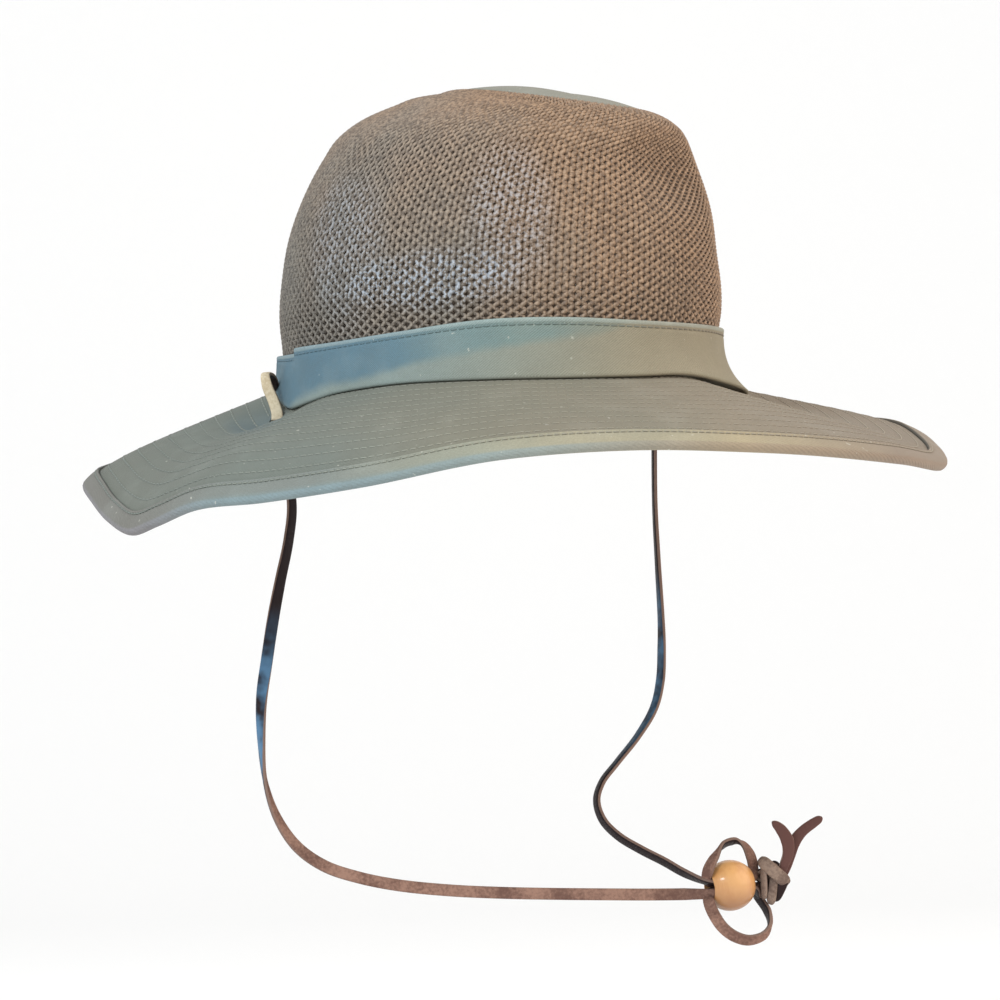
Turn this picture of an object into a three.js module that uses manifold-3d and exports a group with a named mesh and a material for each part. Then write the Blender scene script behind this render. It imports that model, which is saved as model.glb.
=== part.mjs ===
// A safari hat: net crown with a small canvas top, wide canvas band, wide stitched canvas brim that droops,
// and one leather lace through two holes in the brim, with a wooden bead and a knot under the chin.
//
// All lengths are millimetres. +Z is up and the front of the hat faces -Y, so the wearer's right is -X.
// The origin is the middle of the head opening, at the level where the crown meets the brim.
// Directions round the hat are degrees from the front towards the wearer's right: 0 front, 90 right, 180 back.
import * as THREE from 'three';
import { mergeVertices } from 'three/addons/utils/BufferGeometryUtils.js';
import Module from 'manifold-3d';

const wasm = await Module();
wasm.setup();

// ---- driving sizes
const AROUND = 60;            // facets round the hat
const SEWN_GAP = 0.3;         // air left between two sewn pieces
const NET_THICK = 1.8;
const TIP_THICK = 1.6;
const BAND_THICK = 1.8;
const BAND_CLEAR = 0.55;      // from the net to the band, a little more than sewn where the net bulges over it
const BRIM_THICK = 1.8;
const HEM_WIDTH = 9;          // hem of the brim, measured along the cloth
const HEM_THICK = 1.0;
const TONGUE_THICK = 1.2;     // the brim's thickness where the hem wraps it
const NET_FOOT = 12;          // height at which the net ends behind the band
const HEAD_HALF_WIDTH = 80;   // the head opening, an oval for a head about 56 cm round
const HEAD_HALF_LENGTH = 98;
const EDGE_TUCK = 0.05;       // how much the hem turns down instead of reaching out
const SEAM_UP = 118.5;        // height of the top seam on the hat's axis
const SHOULDER_NOD = 9.6;     // degrees that the top seam falls towards the front
const SHOULDER_LEAN = 5.2;    // degrees that it falls towards the wearer's left
const TIP_DOME = 4.4;         // rise of the canvas top over its seam
const TIP_CREASE = 2;         // depth of the soft crease along it
const LACE_ROUND = 3.2;       // diameter of a round cord with the flat lace's own section
const HOLE_ACROSS = 6.4;      // lace hole in the brim
const HOLE_OUT = 8;           // from the head opening to the middle of the hole
const HOLE_TURN = 105;        // direction of the right-hand hole; the other mirrors it
const BEAD_ACROSS = 20;
const BEAD_LONG = 18;         // before its ends are cut off by the bore
const BEAD_BORE = 10.2;
const MOUTH_WIDER = 1.1;      // the bore's mouths are eased open by this much all round
const LANE_OFF = 2.1;         // the lace goes through the bead four times, two by two, this far off its axis
const INTO_KNOT = 14.1;       // from the bead's middle to where the ends go into the knot
const KNOT_WIDE = 11.6;
const KNOT_TALL = 21;
const KNOT_DEEP = 10;

// ---- the crown: one row for each section, up its axis
const CROWN_SECTIONS = [
  { up: 0, halfWidth: 81, halfLength: 98.8, aside: -0.3, ahead: -0.4 },
  { up: 22, halfWidth: 80.6, halfLength: 98.4, aside: -0.3, ahead: -0.4 },
  { up: 34, halfWidth: 81.8, halfLength: 100, aside: -0.2, ahead: 0 },
  { up: 47, halfWidth: 81.3, halfLength: 99.7, aside: 0.1, ahead: 1.2 },
  { up: 61, halfWidth: 79, halfLength: 98.5, aside: 0.4, ahead: 2.7 },
  { up: 75, halfWidth: 75, halfLength: 95.5, aside: 1, ahead: 5.9 },
  { up: 90, halfWidth: 68.5, halfLength: 91, aside: 1.8, ahead: 10.5 },
  { up: 98, halfWidth: 64.3, halfLength: 87.5, aside: 2.4, ahead: 13.6 },
  { up: 106, halfWidth: 57.5, halfLength: 81, aside: 3.6, ahead: 20 },
  { up: 112, halfWidth: 50, halfLength: 73.5, aside: 5, ahead: 27 },
  { up: 116, halfWidth: 44, halfLength: 67.5, aside: 6, ahead: 31 },
  { up: 118.5, halfWidth: 38, halfLength: 60.5, aside: 7, ahead: 35 },
];
const NET_RINGS = [NET_FOOT, 24, 36, 48, 60, 71, 81, 90, 98, 105, 110.5, 114, 116.5, SEAM_UP];

// ---- dents pressed into the crown: where, how deep, and how far they spread
const DENTS = [
  { at: 345, up: 97, deep: 9, spread: 17, tall: 17 },
  { at: 28, up: 95, deep: 4, spread: 16, tall: 20 },
  { at: 300, up: 62, deep: 2.5, spread: 18, tall: 16 },
  { at: 75, up: 72, deep: 1.5, spread: 14, tall: 24 },
  { at: 300, up: 108, deep: 1.8, spread: 24, tall: 14 },
];

// ---- where band and brim meet, round the hat, and the band's own top edge and flare
const FOOT_LEVELS = [
  { at: 0, foot: 2.6, bandTop: 23.8, flare: 3 },
  { at: 15, foot: 2, bandTop: 24.7, flare: 1.6 },
  { at: 30, foot: 2.2, bandTop: 24.8, flare: 1 },
  { at: 55, foot: 1.6, bandTop: 22, flare: 0.6 },
  { at: 75, foot: -0.6, bandTop: 20.6, flare: 0.5 },
  { at: 97, foot: -2.4, bandTop: 20.6, flare: 0.5 },
  { at: 122, foot: 7, bandTop: 21.3, flare: 0.5 },
  { at: 150, foot: 9, bandTop: 24, flare: 0.5 },
  { at: 210, foot: 9, bandTop: 27, flare: 0.5 },
  { at: 260, foot: 9.5, bandTop: 28, flare: 1 },
  { at: 284, foot: 7.5, bandTop: 27.5, flare: 2.5 },
  { at: 296, foot: 2.5, bandTop: 26.5, flare: 6 },
  { at: 308, foot: -0.8, bandTop: 25.5, flare: 9.5 },
  { at: 318, foot: -0.2, bandTop: 24.7, flare: 9 },
  { at: 333, foot: 1.6, bandTop: 24, flare: 6 },
  { at: 347, foot: 3.6, bandTop: 23.6, flare: 4 },
];

// ---- the brim's edge, round the hat: level, reach from the head opening, and how far the edge curls down
const BRIM_EDGES = [
  { at: 0, level: -28.5, reach: 83, curl: 0.12 },
  { at: 15, level: -27.5, reach: 82, curl: 0.15 },
  { at: 30, level: -30, reach: 81, curl: 0.2 },
  { at: 47, level: -38, reach: 80, curl: 0.22 },
  { at: 62, level: -42, reach: 79, curl: 0.25 },
  { at: 75, level: -43.5, reach: 78.5, curl: 0.28 },
  { at: 84, level: -48.5, reach: 78.5, curl: 0.3 },
  { at: 91, level: -51, reach: 78.5, curl: 0.3 },
  { at: 99, level: -45.5, reach: 79, curl: 0.24 },
  { at: 108, level: -37, reach: 79.5, curl: 0.2 },
  { at: 118, level: -31, reach: 80, curl: 0.15 },
  { at: 130, level: -27, reach: 80, curl: 0.12 },
  { at: 150, level: -20, reach: 81, curl: 0.12 },
  { at: 210, level: -12, reach: 82, curl: 0.12 },
  { at: 250, level: -10, reach: 84, curl: 0.12 },
  { at: 275, level: -10.5, reach: 86, curl: 0.12 },
  { at: 290, level: -15, reach: 87, curl: 0.15 },
  { at: 303, level: -24.5, reach: 87, curl: 0.2 },
  { at: 317, level: -32, reach: 87, curl: 0.2 },
  { at: 335, level: -31.5, reach: 85, curl: 0.15 },
];

// ---- soft waves across the brim, each fading towards the crown and the edge: the dip that the lace pulls
const BRIM_WAVES = [
  { at: 105, high: -4.5, spread: 11, middle: 0.16, across: 0.26 },
  { at: 255, high: -2, spread: 11, middle: 0.16, across: 0.26 },
];

// ---- helpers

// A smooth line through a column of a table, at any place along its key column.
function column(table, key, name, place, period = 0) {
  let rows = table;
  let at = place;
  if (period) {
    at = ((place % period) + period) % period;
    const before = table.map((row) => ({ ...row, [key]: row[key] - period }));
    const after = table.map((row) => ({ ...row, [key]: row[key] + period }));
    rows = [...before, ...table, ...after];
  }
  at = Math.min(Math.max(at, rows[0][key]), rows[rows.length - 1][key]);
  let i = 0;
  while (i < rows.length - 2 && rows[i + 1][key] < at) i += 1;
  const slope = (a, b) => (rows[b][name] - rows[a][name]) / (rows[b][key] - rows[a][key]);
  const tangent = (j) => {
    if (j === 0) return slope(0, 1);
    if (j === rows.length - 1) return slope(j - 1, j);
    const left = rows[j][key] - rows[j - 1][key];
    const right = rows[j + 1][key] - rows[j][key];
    return (slope(j - 1, j) * right + slope(j, j + 1) * left) / (left + right);
  };
  const span = rows[i + 1][key] - rows[i][key];
  const t = (at - rows[i][key]) / span;
  const start = (2 * t ** 3 - 3 * t ** 2 + 1) * rows[i][name] + (t ** 3 - 2 * t ** 2 + t) * span * tangent(i);
  const end = (3 * t ** 2 - 2 * t ** 3) * rows[i + 1][name] + (t ** 3 - t ** 2) * span * tangent(i + 1);
  return start + end;
}

const round = (table, name, turn) => column(table, 'at', name, turn, 360);

// A bell that is 1 in the middle and fades out over the spread.
const bell = (distance, spread) => Math.exp(-((distance / spread) ** 2));

// The shorter way from one direction to another, in degrees.
const turnBetween = (a, b) => ((((a - b) % 360) + 540) % 360) - 180;

// A level unit vector pointing out of the hat in a direction.
function outward(turn) {
  const a = THREE.MathUtils.degToRad(turn);
  return new THREE.Vector3(-Math.sin(a), -Math.cos(a), 0);
}

// The distance from the middle of an oval to its edge in a direction.
function ovalRadius(halfWidth, halfLength, turn) {
  const a = THREE.MathUtils.degToRad(turn);
  return 1 / Math.hypot(Math.sin(a) / halfWidth, Math.cos(a) / halfLength);
}

// ---- surfaces of the hat

// The net's outer face: an oval ring at each height, dented, and tipped as it nears the top seam.
function crownFace(turn, up) {
  const of = (name) => column(CROWN_SECTIONS, 'up', name, up);
  let radius = ovalRadius(of('halfWidth'), of('halfLength'), turn);
  for (const dent of DENTS) {
    radius -= dent.deep * bell(turnBetween(turn, dent.at), dent.spread) * bell(up - dent.up, dent.tall);
  }
  const point = outward(turn).multiplyScalar(radius);
  point.x += of('aside');
  point.y -= of('ahead');
  const tipping = THREE.MathUtils.clamp((up - 24) / (SEAM_UP - 24), 0, 1);
  const nod = Math.tan(THREE.MathUtils.degToRad(SHOULDER_NOD)) * tipping;
  const lean = Math.tan(THREE.MathUtils.degToRad(SHOULDER_LEAN)) * tipping;
  point.z = up + point.y * nod - point.x * lean;
  return point;
}

// The canvas top's outer face: the top seam drawn in towards its middle, domed and lightly creased.
function tipFace(turn, spread) {
  const middle = new THREE.Vector3();
  const ends = [0, 90, 180, 270].map((t) => crownFace(t, SEAM_UP));
  ends.forEach((end) => middle.addScaledVector(end, 0.25));
  const point = middle.clone().lerp(crownFace(turn, SEAM_UP), spread);
  const crease = TIP_CREASE * bell(point.x - middle.x, 9) * (1 - spread ** 4);
  point.z += SEWN_GAP + TIP_DOME * (1 - spread ** 2) - crease;
  return point;
}

// The middle of the brim's cloth, from the head opening (0) to the edge (1).
function brimMiddle(turn, part) {
  const foot = round(FOOT_LEVELS, 'foot', turn);
  const fall = foot - round(BRIM_EDGES, 'level', turn);
  const curl = round(BRIM_EDGES, 'curl', turn);
  const out = part * (1 + EDGE_TUCK) - EDGE_TUCK * part ** 8;
  const point = outward(turn).multiplyScalar(ovalRadius(HEAD_HALF_WIDTH, HEAD_HALF_LENGTH, turn));
  point.addScaledVector(outward(turn), round(BRIM_EDGES, 'reach', turn) * out);
  point.z = foot - fall * ((1 - curl) * part + curl * part ** 6);
  for (const wave of BRIM_WAVES) {
    const beside = bell(turnBetween(turn, wave.at), wave.spread);
    point.z += wave.high * beside * bell(part - wave.middle, wave.across);
  }
  return point;
}

// The band's outer face, from its foot (0), which stands on the brim, to its top edge (1).
function bandFace(turn, part) {
  const foot = brimMiddle(turn, 0.02).z + BRIM_THICK * 0.62 + SEWN_GAP;
  const top = round(FOOT_LEVELS, 'bandTop', turn);
  const up = THREE.MathUtils.lerp(foot, top, part);
  const point = crownFace(turn, Math.max(up, 0));
  const flare = round(FOOT_LEVELS, 'flare', turn) * (1 - part) ** 3;
  point.addScaledVector(outward(turn), BAND_CLEAR + BAND_THICK + flare);
  point.z = up;
  return point;
}

// A unit vector square to a surface that is a function of direction and a second value.
function faceNormal(face, turn, part, step) {
  const along = face(turn + 1, part).sub(face(turn - 1, part));
  const up = face(turn, part + step).sub(face(turn, part - step));
  return up.cross(along).normalize();
}

// A closed solid from rings of points: each row is a ring round the hat, and the last row joins the first.
function ringSolid(rows) {
  const positions = rows.flat().flatMap((p) => [p.x, p.y, p.z]);
  const index = [];
  const count = rows[0].length;
  for (let r = 0; r < rows.length; r += 1) {
    const next = (r + 1) % rows.length;
    for (let i = 0; i < count; i += 1) {
      const j = (i + 1) % count;
      index.push(r * count + i, r * count + j, next * count + j);
      index.push(r * count + i, next * count + j, next * count + i);
    }
  }
  const geometry = new THREE.BufferGeometry();
  geometry.setAttribute('position', new THREE.Float32BufferAttribute(positions, 3));
  geometry.setIndex(index);
  return geometry;
}

const turns = Array.from({ length: AROUND }, (_, i) => (360 * i) / AROUND);
const ring = (place) => turns.map(place);

// Turns every face round where a closed geometry's faces point inwards.
function facingOut(geometry) {
  const p = geometry.getAttribute('position');
  const index = geometry.getIndex().array;
  let volume = 0;
  const [a, b, c] = [new THREE.Vector3(), new THREE.Vector3(), new THREE.Vector3()];
  for (let i = 0; i < index.length; i += 3) {
    a.fromBufferAttribute(p, index[i]);
    b.fromBufferAttribute(p, index[i + 1]);
    c.fromBufferAttribute(p, index[i + 2]);
    volume += a.dot(b.cross(c));
  }
  if (volume < 0) {
    for (let i = 0; i < index.length; i += 3) {
      [index[i + 1], index[i + 2]] = [index[i + 2], index[i + 1]];
    }
  }
  geometry.computeVertexNormals();
  return geometry;
}

// ---- the pieces' shapes

// A wall with a given outer face: rings up its outside, then down its inside.
function wallSolid(face, parts, thick, step) {
  const outside = parts.map((part) => ring((turn) => face(turn, part)));
  const inside = parts.map((part) =>
    ring((turn) => face(turn, part).addScaledVector(faceNormal(face, turn, part, step), -thick)));
  return facingOut(ringSolid([...outside, ...inside.reverse()]));
}

const evenly = (from, to, count) => Array.from({ length: count + 1 }, (_, i) => from + ((to - from) * i) / count);

function netGeometry() {
  return wallSolid(crownFace, NET_RINGS, NET_THICK, 0.5);
}

function bandGeometry() {
  const outside = evenly(0, 1, 4).map((part) => ring((turn) => bandFace(turn, part)));
  const inside = evenly(1, 0, 4).map((part) => ring((turn) =>
    bandFace(turn, part).addScaledVector(outward(turn), -BAND_THICK)));
  return facingOut(ringSolid([...outside, ...inside]));
}

// The canvas top is a shallow lid: rings drawn in to a small middle facet, above and below.
function tipGeometry() {
  const spreads = [1, 0.93, 0.8, 0.6, 0.4, 0.2];
  const below = spreads.map((spread) => ring((turn) => tipFace(turn, spread)));
  const above = below.map((row, i) => row.map((p) => p.clone().setZ(p.z + (i ? TIP_THICK : TIP_THICK / 2))));
  const rows = [...below.reverse(), ...above];
  const geometry = ringSolid(rows);
  const count = AROUND;
  const index = Array.from(geometry.getIndex().array).slice(0, (rows.length - 1) * count * 6);
  const positions = Array.from(geometry.getAttribute('position').array);
  const lower = rows.length * count;
  const middle = tipFace(0, 0);
  positions.push(middle.x, middle.y, middle.z, middle.x, middle.y, middle.z + TIP_THICK);
  for (let i = 0; i < count; i += 1) {
    const j = (i + 1) % count;
    index.push(lower, j, i);
    index.push(lower + 1, (rows.length - 1) * count + i, (rows.length - 1) * count + j);
  }
  const closed = new THREE.BufferGeometry();
  closed.setAttribute('position', new THREE.Float32BufferAttribute(positions, 3));
  closed.setIndex(index);
  return facingOut(closed);
}

// How far out the hem starts, so that its cloth is as wide all round.
function hemStart(turn) {
  const edge = brimMiddle(turn, 1);
  let [near, far] = [0.6, 1];
  for (let i = 0; i < 20; i += 1) {
    const part = (near + far) / 2;
    if (brimMiddle(turn, part).distanceTo(edge) > HEM_WIDTH) near = part;
    else far = part;
  }
  return near;
}

// A ring beside the brim's middle, off it by a distance: part counts from the opening to the hem.
const besideBrim = (part, off) => ring((turn) => {
  const place = part * hemStart(turn);
  return brimMiddle(turn, place).addScaledVector(faceNormal(brimMiddle, turn, place, 0.01), off);
});

// The same across the hem, where part counts from its seam to the edge.
const besideHem = (part, off) => ring((turn) => {
  const place = THREE.MathUtils.lerp(hemStart(turn), 1, part);
  return brimMiddle(turn, place).addScaledVector(faceNormal(brimMiddle, turn, place, 0.01), off);
});

function brimSolid() {
  const half = BRIM_THICK / 2;
  const parts = [0.015, 0.09, 0.22, 0.38, 0.54, 0.7, 0.85, 0.97];
  const tongue = [0, 0.4, 0.75];
  const rows = [
    ...parts.map((part) => besideBrim(part, half)),
    ...tongue.map((part) => besideHem(part, TONGUE_THICK / 2)),
    ...tongue.toReversed().map((part) => besideHem(part, -TONGUE_THICK / 2)),
    ...parts.toReversed().map((part) => besideBrim(part, -half)),
  ];
  return facingOut(ringSolid(rows));
}

// The hem is folded over the brim's edge: out along its top, round the edge, back below, and inside again.
function hemGeometry() {
  const inner = TONGUE_THICK / 2 + SEWN_GAP + 0.1;
  const outer = inner + HEM_THICK;
  const section = [
    { part: 0, off: inner },
    { part: 0, off: outer },
    { part: 0.45, off: outer },
    { part: 0.86, off: outer * 0.95 },
    { part: 1, off: outer * 0.45 },
    { part: 1, off: -outer * 0.45 },
    { part: 0.86, off: -outer * 0.95 },
    { part: 0.45, off: -outer },
    { part: 0, off: -outer },
    { part: 0, off: -inner },
    { part: 0.45, off: -inner },
    { part: 0.82, off: -inner },
    { part: 0.82, off: inner },
    { part: 0.45, off: inner },
  ];
  return facingOut(ringSolid(section.map((row) => besideHem(row.part, row.off))));
}

// ---- joining and cutting

function toManifold(geometry) {
  const bare = geometry.clone();
  bare.deleteAttribute('normal');
  bare.deleteAttribute('uv');
  const merged = mergeVertices(bare, 1e-4);
  const vertProperties = new Float32Array(merged.getAttribute('position').array);
  const triVerts = new Uint32Array(merged.getIndex().array);
  return new wasm.Manifold(new wasm.Mesh({ numProp: 3, vertProperties, triVerts }));
}

function fromManifold(solid) {
  const mesh = solid.getMesh();
  const geometry = new THREE.BufferGeometry();
  geometry.setAttribute('position', new THREE.Float32BufferAttribute(mesh.vertProperties, 3));
  geometry.setIndex(Array.from(mesh.triVerts));
  geometry.computeVertexNormals();
  return geometry;
}

// Where the lace goes through the brim, on one side: 1 is the wearer's right, -1 the left.
function holeMiddle(side) {
  const turn = side > 0 ? HOLE_TURN : 360 - HOLE_TURN;
  const reach = round(BRIM_EDGES, 'reach', turn);
  return brimMiddle(turn, HOLE_OUT / reach);
}

function brimGeometry() {
  let solid = toManifold(brimSolid());
  for (const side of [1, -1]) {
    const punch = new THREE.CylinderGeometry(HOLE_ACROSS / 2, HOLE_ACROSS / 2, 20, 12);
    punch.rotateX(Math.PI / 2);
    const at = holeMiddle(side);
    punch.translate(at.x, at.y, at.z);
    solid = solid.subtract(toManifold(punch));
  }
  return fromManifold(solid);
}

// ---- the lace

// The lace hangs in an upright sheet of space that is turned to the hat: right and near are level in it.
const HANG_TURN = THREE.MathUtils.degToRad(-30);
const HANG_RIGHT = new THREE.Vector3(Math.cos(HANG_TURN), Math.sin(HANG_TURN), 0);
const HANG_NEAR = new THREE.Vector3(Math.sin(HANG_TURN), -Math.cos(HANG_TURN), 0);
const hanging = (row) =>
  HANG_RIGHT.clone().multiplyScalar(row.right).addScaledVector(HANG_NEAR, row.near).setZ(row.up);

const BEAD_AT = hanging({ right: 86.5, near: -8, up: -191.5 });
const BEAD_AXIS = hanging({ right: 0.94, near: -0.32, up: 0.08 }).normalize();
const LANE_UP = new THREE.Vector3(0, 0, 1).addScaledVector(BEAD_AXIS, -BEAD_AXIS.z).normalize();
const LANE_NEAR = new THREE.Vector3().crossVectors(LANE_UP, BEAD_AXIS).normalize();

// A place in the bead: along its axis, in the upper or lower lane, and the near or far one.
const inBead = (along, upper, near) => BEAD_AT.clone()
  .addScaledVector(BEAD_AXIS, along)
  .addScaledVector(LANE_UP, upper * LANE_OFF)
  .addScaledVector(LANE_NEAR, near * LANE_OFF);
const through = (upper, near) => [-8.5, 0, 8.5].map((along) => inBead(along, upper, near));

// From the right-hand hole down and across to the bead, once round below it, and on to the knot.
const RIGHT_FALL = [
  { right: -81.5, near: 20, up: -38 },
  { right: -83, near: 20, up: -52.5 },
  { right: -86.5, near: 20, up: -68 },
  { right: -89.5, near: 19, up: -82 },
  { right: -92.5, near: 18, up: -99 },
  { right: -95, near: 16, up: -114.5 },
  { right: -95.5, near: 14, up: -130 },
  { right: -94.5, near: 12, up: -145.5 },
  { right: -90.5, near: 10, up: -159.5 },
  { right: -83, near: 8, up: -171.5 },
  { right: -72.5, near: 6, up: -179.5 },
  { right: -59, near: 4, up: -184.5 },
  { right: -43.5, near: 2, up: -188 },
  { right: -24, near: 0, up: -190.5 },
  { right: -4.5, near: -2, up: -192 },
  { right: 15.5, near: -4, up: -193 },
  { right: 35, near: -5, up: -193.7 },
  { right: 54.5, near: -6, up: -194.3 },
  { right: 68, near: -6.5, up: -194.5 },
];
const LOW_LOOP = [
  { right: 98, near: -14.3, up: -196.8 },
  { right: 101.8, near: -13, up: -202.5 },
  { right: 102.8, near: -11, up: -207.8 },
  { right: 100.5, near: -9.5, up: -212.2 },
  { right: 94.5, near: -8, up: -214.5 },
  { right: 88.5, near: -6.5, up: -212.7 },
  { right: 83, near: -5, up: -208.7 },
  { right: 78.8, near: -3.5, up: -203.5 },
  { right: 75.5, near: -2.2, up: -198.5 },
];

// From the left-hand hole down to the bead, once round above it, and on to the knot.
const LEFT_FALL = [
  { right: 62.5, near: -66, up: -37.5 },
  { right: 63, near: -63.5, up: -62 },
  { right: 63.7, near: -60, up: -86.5 },
  { right: 63.5, near: -57, up: -98 },
  { right: 62.5, near: -53, up: -111 },
  { right: 59.5, near: -49, up: -122 },
  { right: 52.5, near: -43, up: -133 },
  { right: 43.5, near: -37, up: -143.5 },
  { right: 37.3, near: -33, up: -151 },
  { right: 35, near: -30, up: -158 },
  { right: 37, near: -27, up: -165.5 },
  { right: 43, near: -23, up: -172 },
  { right: 51.5, near: -19.5, up: -177.3 },
  { right: 60.5, near: -15.5, up: -182 },
  { right: 69, near: -10.6, up: -186.8 },
];
const HIGH_LOOP = [
  { right: 96.2, near: -12.6, up: -185 },
  { right: 95.3, near: -11.8, up: -180 },
  { right: 92.3, near: -10.6, up: -176 },
  { right: 87, near: -9, up: -174.2 },
  { right: 82, near: -6.5, up: -176 },
  { right: 78.6, near: -4.5, up: -180 },
  { right: 75.4, near: -2.6, up: -184.8 },
];
const KNOT_AT = hanging({ right: 105.3, near: -10.5, up: -189.5 });

// The two ends stand up out of the knot, one towards the crown and one away.
const TAILS = {
  tail_inner: [
    { right: 107.4, near: -8.6, up: -179.2 },
    { right: 107.8, near: -8.4, up: -174.5 },
    { right: 106.4, near: -8.2, up: -170.5 },
    { right: 104, near: -8, up: -167.3 },
  ],
  tail_outer: [
    { right: 109, near: -12.4, up: -180.1 },
    { right: 110.3, near: -12.4, up: -175 },
    { right: 114.2, near: -12.2, up: -170.6 },
    { right: 119, near: -12, up: -167.8 },
    { right: 123, near: -12, up: -166 },
  ],
};

// Up through the right-hand hole, back round the crown on the brim and down through the left-hand one.
// out is from the head opening to the lace's middle, above is over the middle of the brim's cloth.
const BACK_REST = [
  { at: 106, out: 8.4, above: 9 },
  { at: 108.5, out: 8, above: 14.5 },
  { at: 114, out: 7.2, above: 15 },
  { at: 121, out: 6.6, above: 10.5 },
  { at: 131, out: 6, above: 6 },
  { at: 143, out: 6, above: 3.5 },
  { at: 160, out: 6, above: 3.1 },
  { at: 180, out: 6, above: 3.1 },
];

// A tube of the lace's section along a line of places.
function laceGeometry(points, steps) {
  const path = new THREE.CatmullRomCurve3(points, false, 'centripetal');
  const outline = new THREE.Shape();
  outline.absarc(0, 0, LACE_ROUND / 2, 0, 2 * Math.PI);
  return new THREE.ExtrudeGeometry(outline, { curveSegments: 4, steps, extrudePath: path });
}

// The lace stands upright where it goes through a hole: the places just over (1) or under (-1) its middle.
const upright = (side, way) => [SEWN_GAP / 2, 3].map((off) => {
  const point = holeMiddle(side);
  point.z += way * off;
  return point;
});

function laceRight() {
  const fall = [...upright(1, -1), ...RIGHT_FALL.map(hanging)];
  const loop = [...through(-1, -1), ...LOW_LOOP.map(hanging), ...through(-1, 1)];
  return laceGeometry([...fall, ...loop, inBead(INTO_KNOT, -1, 1)], 46);
}

function laceLeft() {
  const fall = [...upright(-1, -1), ...LEFT_FALL.map(hanging)];
  const loop = [...through(1, -1), ...HIGH_LOOP.map(hanging), ...through(1, 1)];
  return laceGeometry([...fall, ...loop, inBead(INTO_KNOT, 1, 1)], 34);
}

function laceBack() {
  const rest = (row, side) => {
    const turn = side > 0 ? row.at : 360 - row.at;
    const reach = round(BRIM_EDGES, 'reach', turn) * (1 + EDGE_TUCK);
    const point = brimMiddle(turn, row.out / reach);
    point.z += row.above;
    return point;
  };
  const rightSide = BACK_REST.map((row) => rest(row, 1));
  const leftSide = BACK_REST.slice(0, -1).map((row) => rest(row, -1)).reverse();
  return laceGeometry([...upright(1, 1), ...rightSide, ...leftSide, ...upright(-1, 1).reverse()], 44);
}

// The bead is a barrel turned round its bore.
function beadGeometry() {
  const bore = BEAD_BORE / 2;
  const mouth = bore + MOUTH_WIDER;
  const reachAt = (radius) => (BEAD_LONG / 2) * Math.sqrt(1 - (radius / (BEAD_ACROSS / 2)) ** 2);
  const start = Math.asin(mouth / (BEAD_ACROSS / 2));
  const arc = evenly(start, Math.PI - start, 10).map((a) =>
    new THREE.Vector2((BEAD_ACROSS / 2) * Math.sin(a), -(BEAD_LONG / 2) * Math.cos(a)));
  const end = reachAt(mouth) - 0.4;
  const profile = [new THREE.Vector2(bore, -end), ...arc, new THREE.Vector2(bore, end)];
  profile.push(profile[0].clone());
  const geometry = new THREE.LatheGeometry(profile, 24);
  const turnedAbout = new THREE.Vector3(0, 1, 0);
  geometry.applyQuaternion(new THREE.Quaternion().setFromUnitVectors(turnedAbout, BEAD_AXIS));
  geometry.translate(BEAD_AT.x, BEAD_AT.y, BEAD_AT.z);
  return geometry;
}

function knotGeometry() {
  const geometry = new THREE.SphereGeometry(0.5, 18, 12);
  geometry.rotateX(Math.PI / 2);
  geometry.scale(KNOT_WIDE, KNOT_DEEP, KNOT_TALL);
  geometry.rotateZ(HANG_TURN);
  geometry.translate(KNOT_AT.x, KNOT_AT.y, KNOT_AT.z);
  return geometry;
}

const group = new THREE.Group();

function add(name, geometry, color, roughness) {
  const material = new THREE.MeshStandardMaterial({ color, roughness, metalness: 0 });
  const mesh = new THREE.Mesh(geometry, material);
  mesh.name = name;
  group.add(mesh);
}

add('crown_mesh', netGeometry(), 0x8c7c6a, 0.9);
add('crown_tip', tipGeometry(), 0x97997f, 0.9);
add('hat_band', bandGeometry(), 0x86938f, 0.9);
add('brim', brimGeometry(), 0x999583, 0.9);
add('brim_hem', hemGeometry(), 0x9f9d8b, 0.9);
add('lace_back', laceBack(), 0x8a7466, 0.8);
add('lace_right', laceRight(), 0x8a7466, 0.8);
add('lace_left', laceLeft(), 0x4a3630, 0.5);
add('bead', beadGeometry(), 0xe0b078, 0.3);
add('knot', knotGeometry(), 0x7d6a5e, 0.8);
for (const [name, rows] of Object.entries(TAILS)) {
  add(name, laceGeometry(rows.map(hanging), 6), 0x5e403a, 0.6);
}

export default group;
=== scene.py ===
# %% [markdown]
# # A safari hat, piece by piece
# This lesson dresses a plain model of a safari hat in its real materials. The hat has a net crown with a
# small canvas top, a canvas band, a wide stitched canvas brim with a bound edge, and one leather lace. The
# lace goes up through two holes in the brim, and its two ends meet in a wooden bead and a knot below the
# chin. The plain model comes first, because every new piece has to lie where the plain one says.

# %% Load the plain model
import math
import bpy
import numpy as np
from mathutils import Matrix


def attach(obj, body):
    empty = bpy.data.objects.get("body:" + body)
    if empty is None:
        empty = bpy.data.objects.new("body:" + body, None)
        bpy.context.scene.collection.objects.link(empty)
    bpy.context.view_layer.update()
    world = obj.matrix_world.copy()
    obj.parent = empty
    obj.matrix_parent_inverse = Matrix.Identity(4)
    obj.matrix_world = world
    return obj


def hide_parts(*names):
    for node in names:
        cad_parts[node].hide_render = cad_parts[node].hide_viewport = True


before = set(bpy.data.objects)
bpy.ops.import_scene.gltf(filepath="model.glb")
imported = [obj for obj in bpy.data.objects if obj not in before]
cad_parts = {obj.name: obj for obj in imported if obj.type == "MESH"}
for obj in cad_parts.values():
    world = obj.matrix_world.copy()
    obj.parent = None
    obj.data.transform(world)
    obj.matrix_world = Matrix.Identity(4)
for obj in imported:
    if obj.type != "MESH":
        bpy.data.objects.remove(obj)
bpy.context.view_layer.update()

print("plain pieces:", ", ".join(sorted(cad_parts)))

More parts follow.
